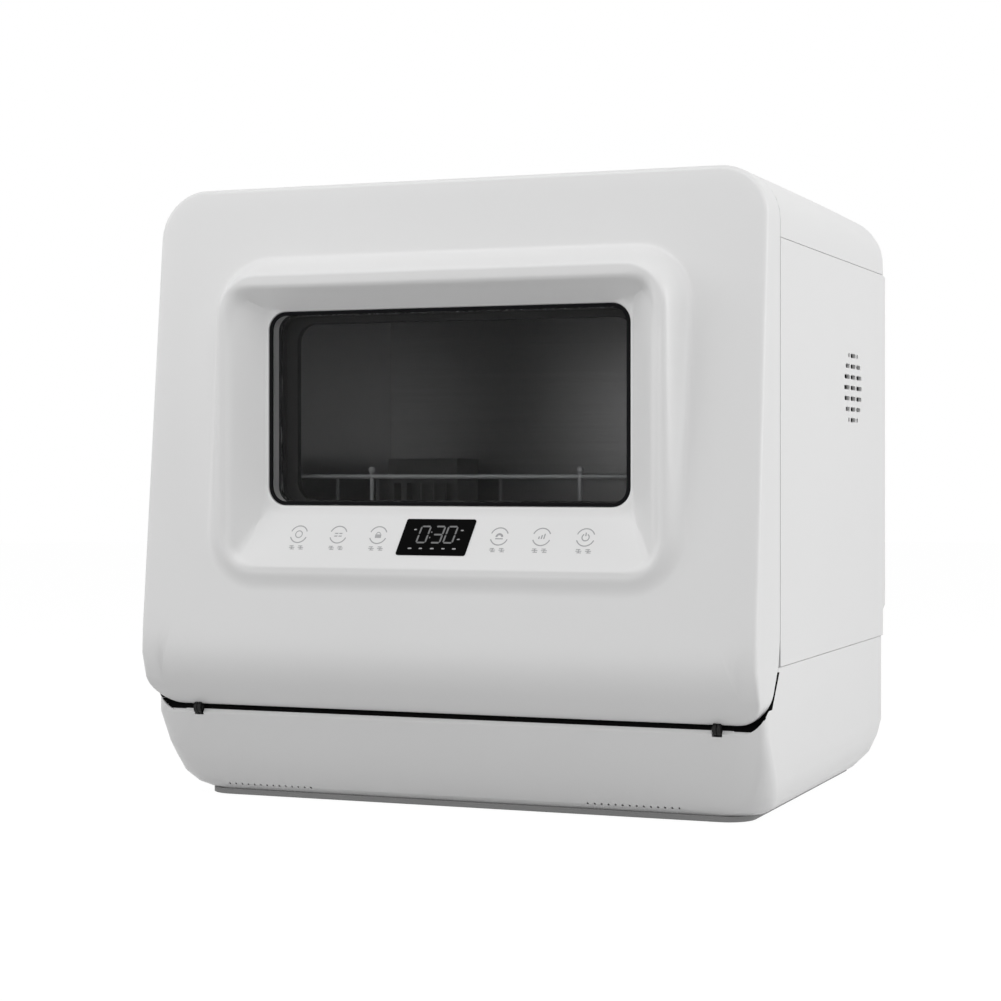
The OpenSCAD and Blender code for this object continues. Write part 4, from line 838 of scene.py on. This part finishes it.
studio = {  # in metres
    "floor": (0.66, 0.66, 0.66), "floorR": 6.0, "floorPlain": 0.90, "floorWhite": 1.08,
    "room": 0.31, "white": 1.0,
}


def seenRays(make, link):
    # 1 for what the camera, gloss and glass see: that is plain white, the rest lights as it should
    path = make("ShaderNodeLightPath")
    total = path.outputs["Is Camera Ray"]
    for kind in ("Is Glossy Ray", "Is Transmission Ray"):
        larger = make("ShaderNodeMath", operation="MAXIMUM")
        link(total, larger.inputs[0])
        link(path.outputs[kind], larger.inputs[1])
        total = larger.outputs[0]
    return total


def makeRoom():
    world = bpy.data.worlds.new("studio")
    bpy.context.scene.world = world
    world.use_nodes = True
    make, link = nodeMaker(world.node_tree), world.node_tree.links.new
    light = make("ShaderNodeBackground", Strength=studio["room"], Color=(1, 1, 1, 1))
    white = make("ShaderNodeBackground", Strength=studio["white"], Color=(1, 1, 1, 1))
    mix = make("ShaderNodeMixShader")
    link(seenRays(make, link), mix.inputs["Fac"])
    link(light.outputs["Background"], mix.inputs[1])
    link(white.outputs["Background"], mix.inputs[2])
    link(mix.outputs["Shader"], make("ShaderNodeOutputWorld").inputs["Surface"])


def makeFloor():
    bm = bmesh.new()
    bmesh.ops.create_circle(bm, cap_ends=True, segments=64, radius=studio["floorR"])
    mesh = bpy.data.meshes.new("floor")
    bm.to_mesh(mesh)
    bm.free()
    floor = bpy.data.objects.new("floor", mesh)
    bpy.context.scene.collection.objects.link(floor)
    mat = bpy.data.materials.new("floorWhite")
    mat.use_nodes = True
    make, link = nodeMaker(mat.node_tree), mat.node_tree.links.new
    # the shadow stays: a soft diffuse part is mixed with plain white
    shade = make("ShaderNodeBsdfDiffuse", Color=(*studio["floor"], 1))
    plain = make("ShaderNodeEmission", Strength=studio["floorWhite"])
    mix = make("ShaderNodeMixShader")
    scale = make("ShaderNodeMath", operation="MULTIPLY")
    scale.inputs[1].default_value = studio["floorPlain"]
    link(seenRays(make, link), scale.inputs[0])
    link(scale.outputs[0], mix.inputs["Fac"])
    link(shade.outputs["BSDF"], mix.inputs[1])
    link(plain.outputs["Emission"], mix.inputs[2])
    link(mix.outputs["Shader"], make("ShaderNodeOutputMaterial").inputs["Surface"])
    mesh.materials.append(mat)


lamps = {  # place, aim, width, height, power, in metres and watts
    "rightWall": ((2.0, 0.1, 0.75), (0.2, 0.0, 0.25), 1.4, 1.2, 17),
    "leftWall": ((-1.8, -1.2, 1.0), (-0.2, -0.2, 0.3), 1.3, 1.1, 10),
    "front": ((0.9, -1.9, 1.25), (0.0, -0.2, 0.3), 1.2, 0.9, 6.0),
    "above": ((-0.1, -0.9, 1.6), (0.0, -0.15, 0.3), 1.5, 0.9, 9),
}


def makeLamps():
    for name, (place, aim, wide, high, power) in lamps.items():
        data = bpy.data.lights.new(name, "AREA")
        data.shape = "RECTANGLE"
        data.size, data.size_y = wide, high
        data.energy = power
        lamp = bpy.data.objects.new(name, data)
        bpy.context.scene.collection.objects.link(lamp)
        lamp.location = place
        lamp.rotation_euler = (Vector(aim) - Vector(place)).to_track_quat("-Z", "Y").to_euler()


view = {"place": (0.60943, -1.616, 0.235), "turn": 21.54, "lens": 82.46, "shiftY": -0.02947}


def makeCamera():
    data = bpy.data.cameras.new("camera")
    data.lens = view["lens"]
    data.sensor_width = 36
    data.sensor_fit = "HORIZONTAL"
    data.shift_y = view["shiftY"]
    camera = bpy.data.objects.new("camera", data)
    bpy.context.scene.collection.objects.link(camera)
    camera.location = view["place"]
    camera.rotation_euler = (math.radians(90), 0, math.radians(view["turn"]))
    bpy.context.scene.camera = camera


makeRoom()
makeFloor()
makeLamps()
makeCamera()
bpy.context.scene.view_settings.view_transform = "Standard"
print("room, lamps and camera made")
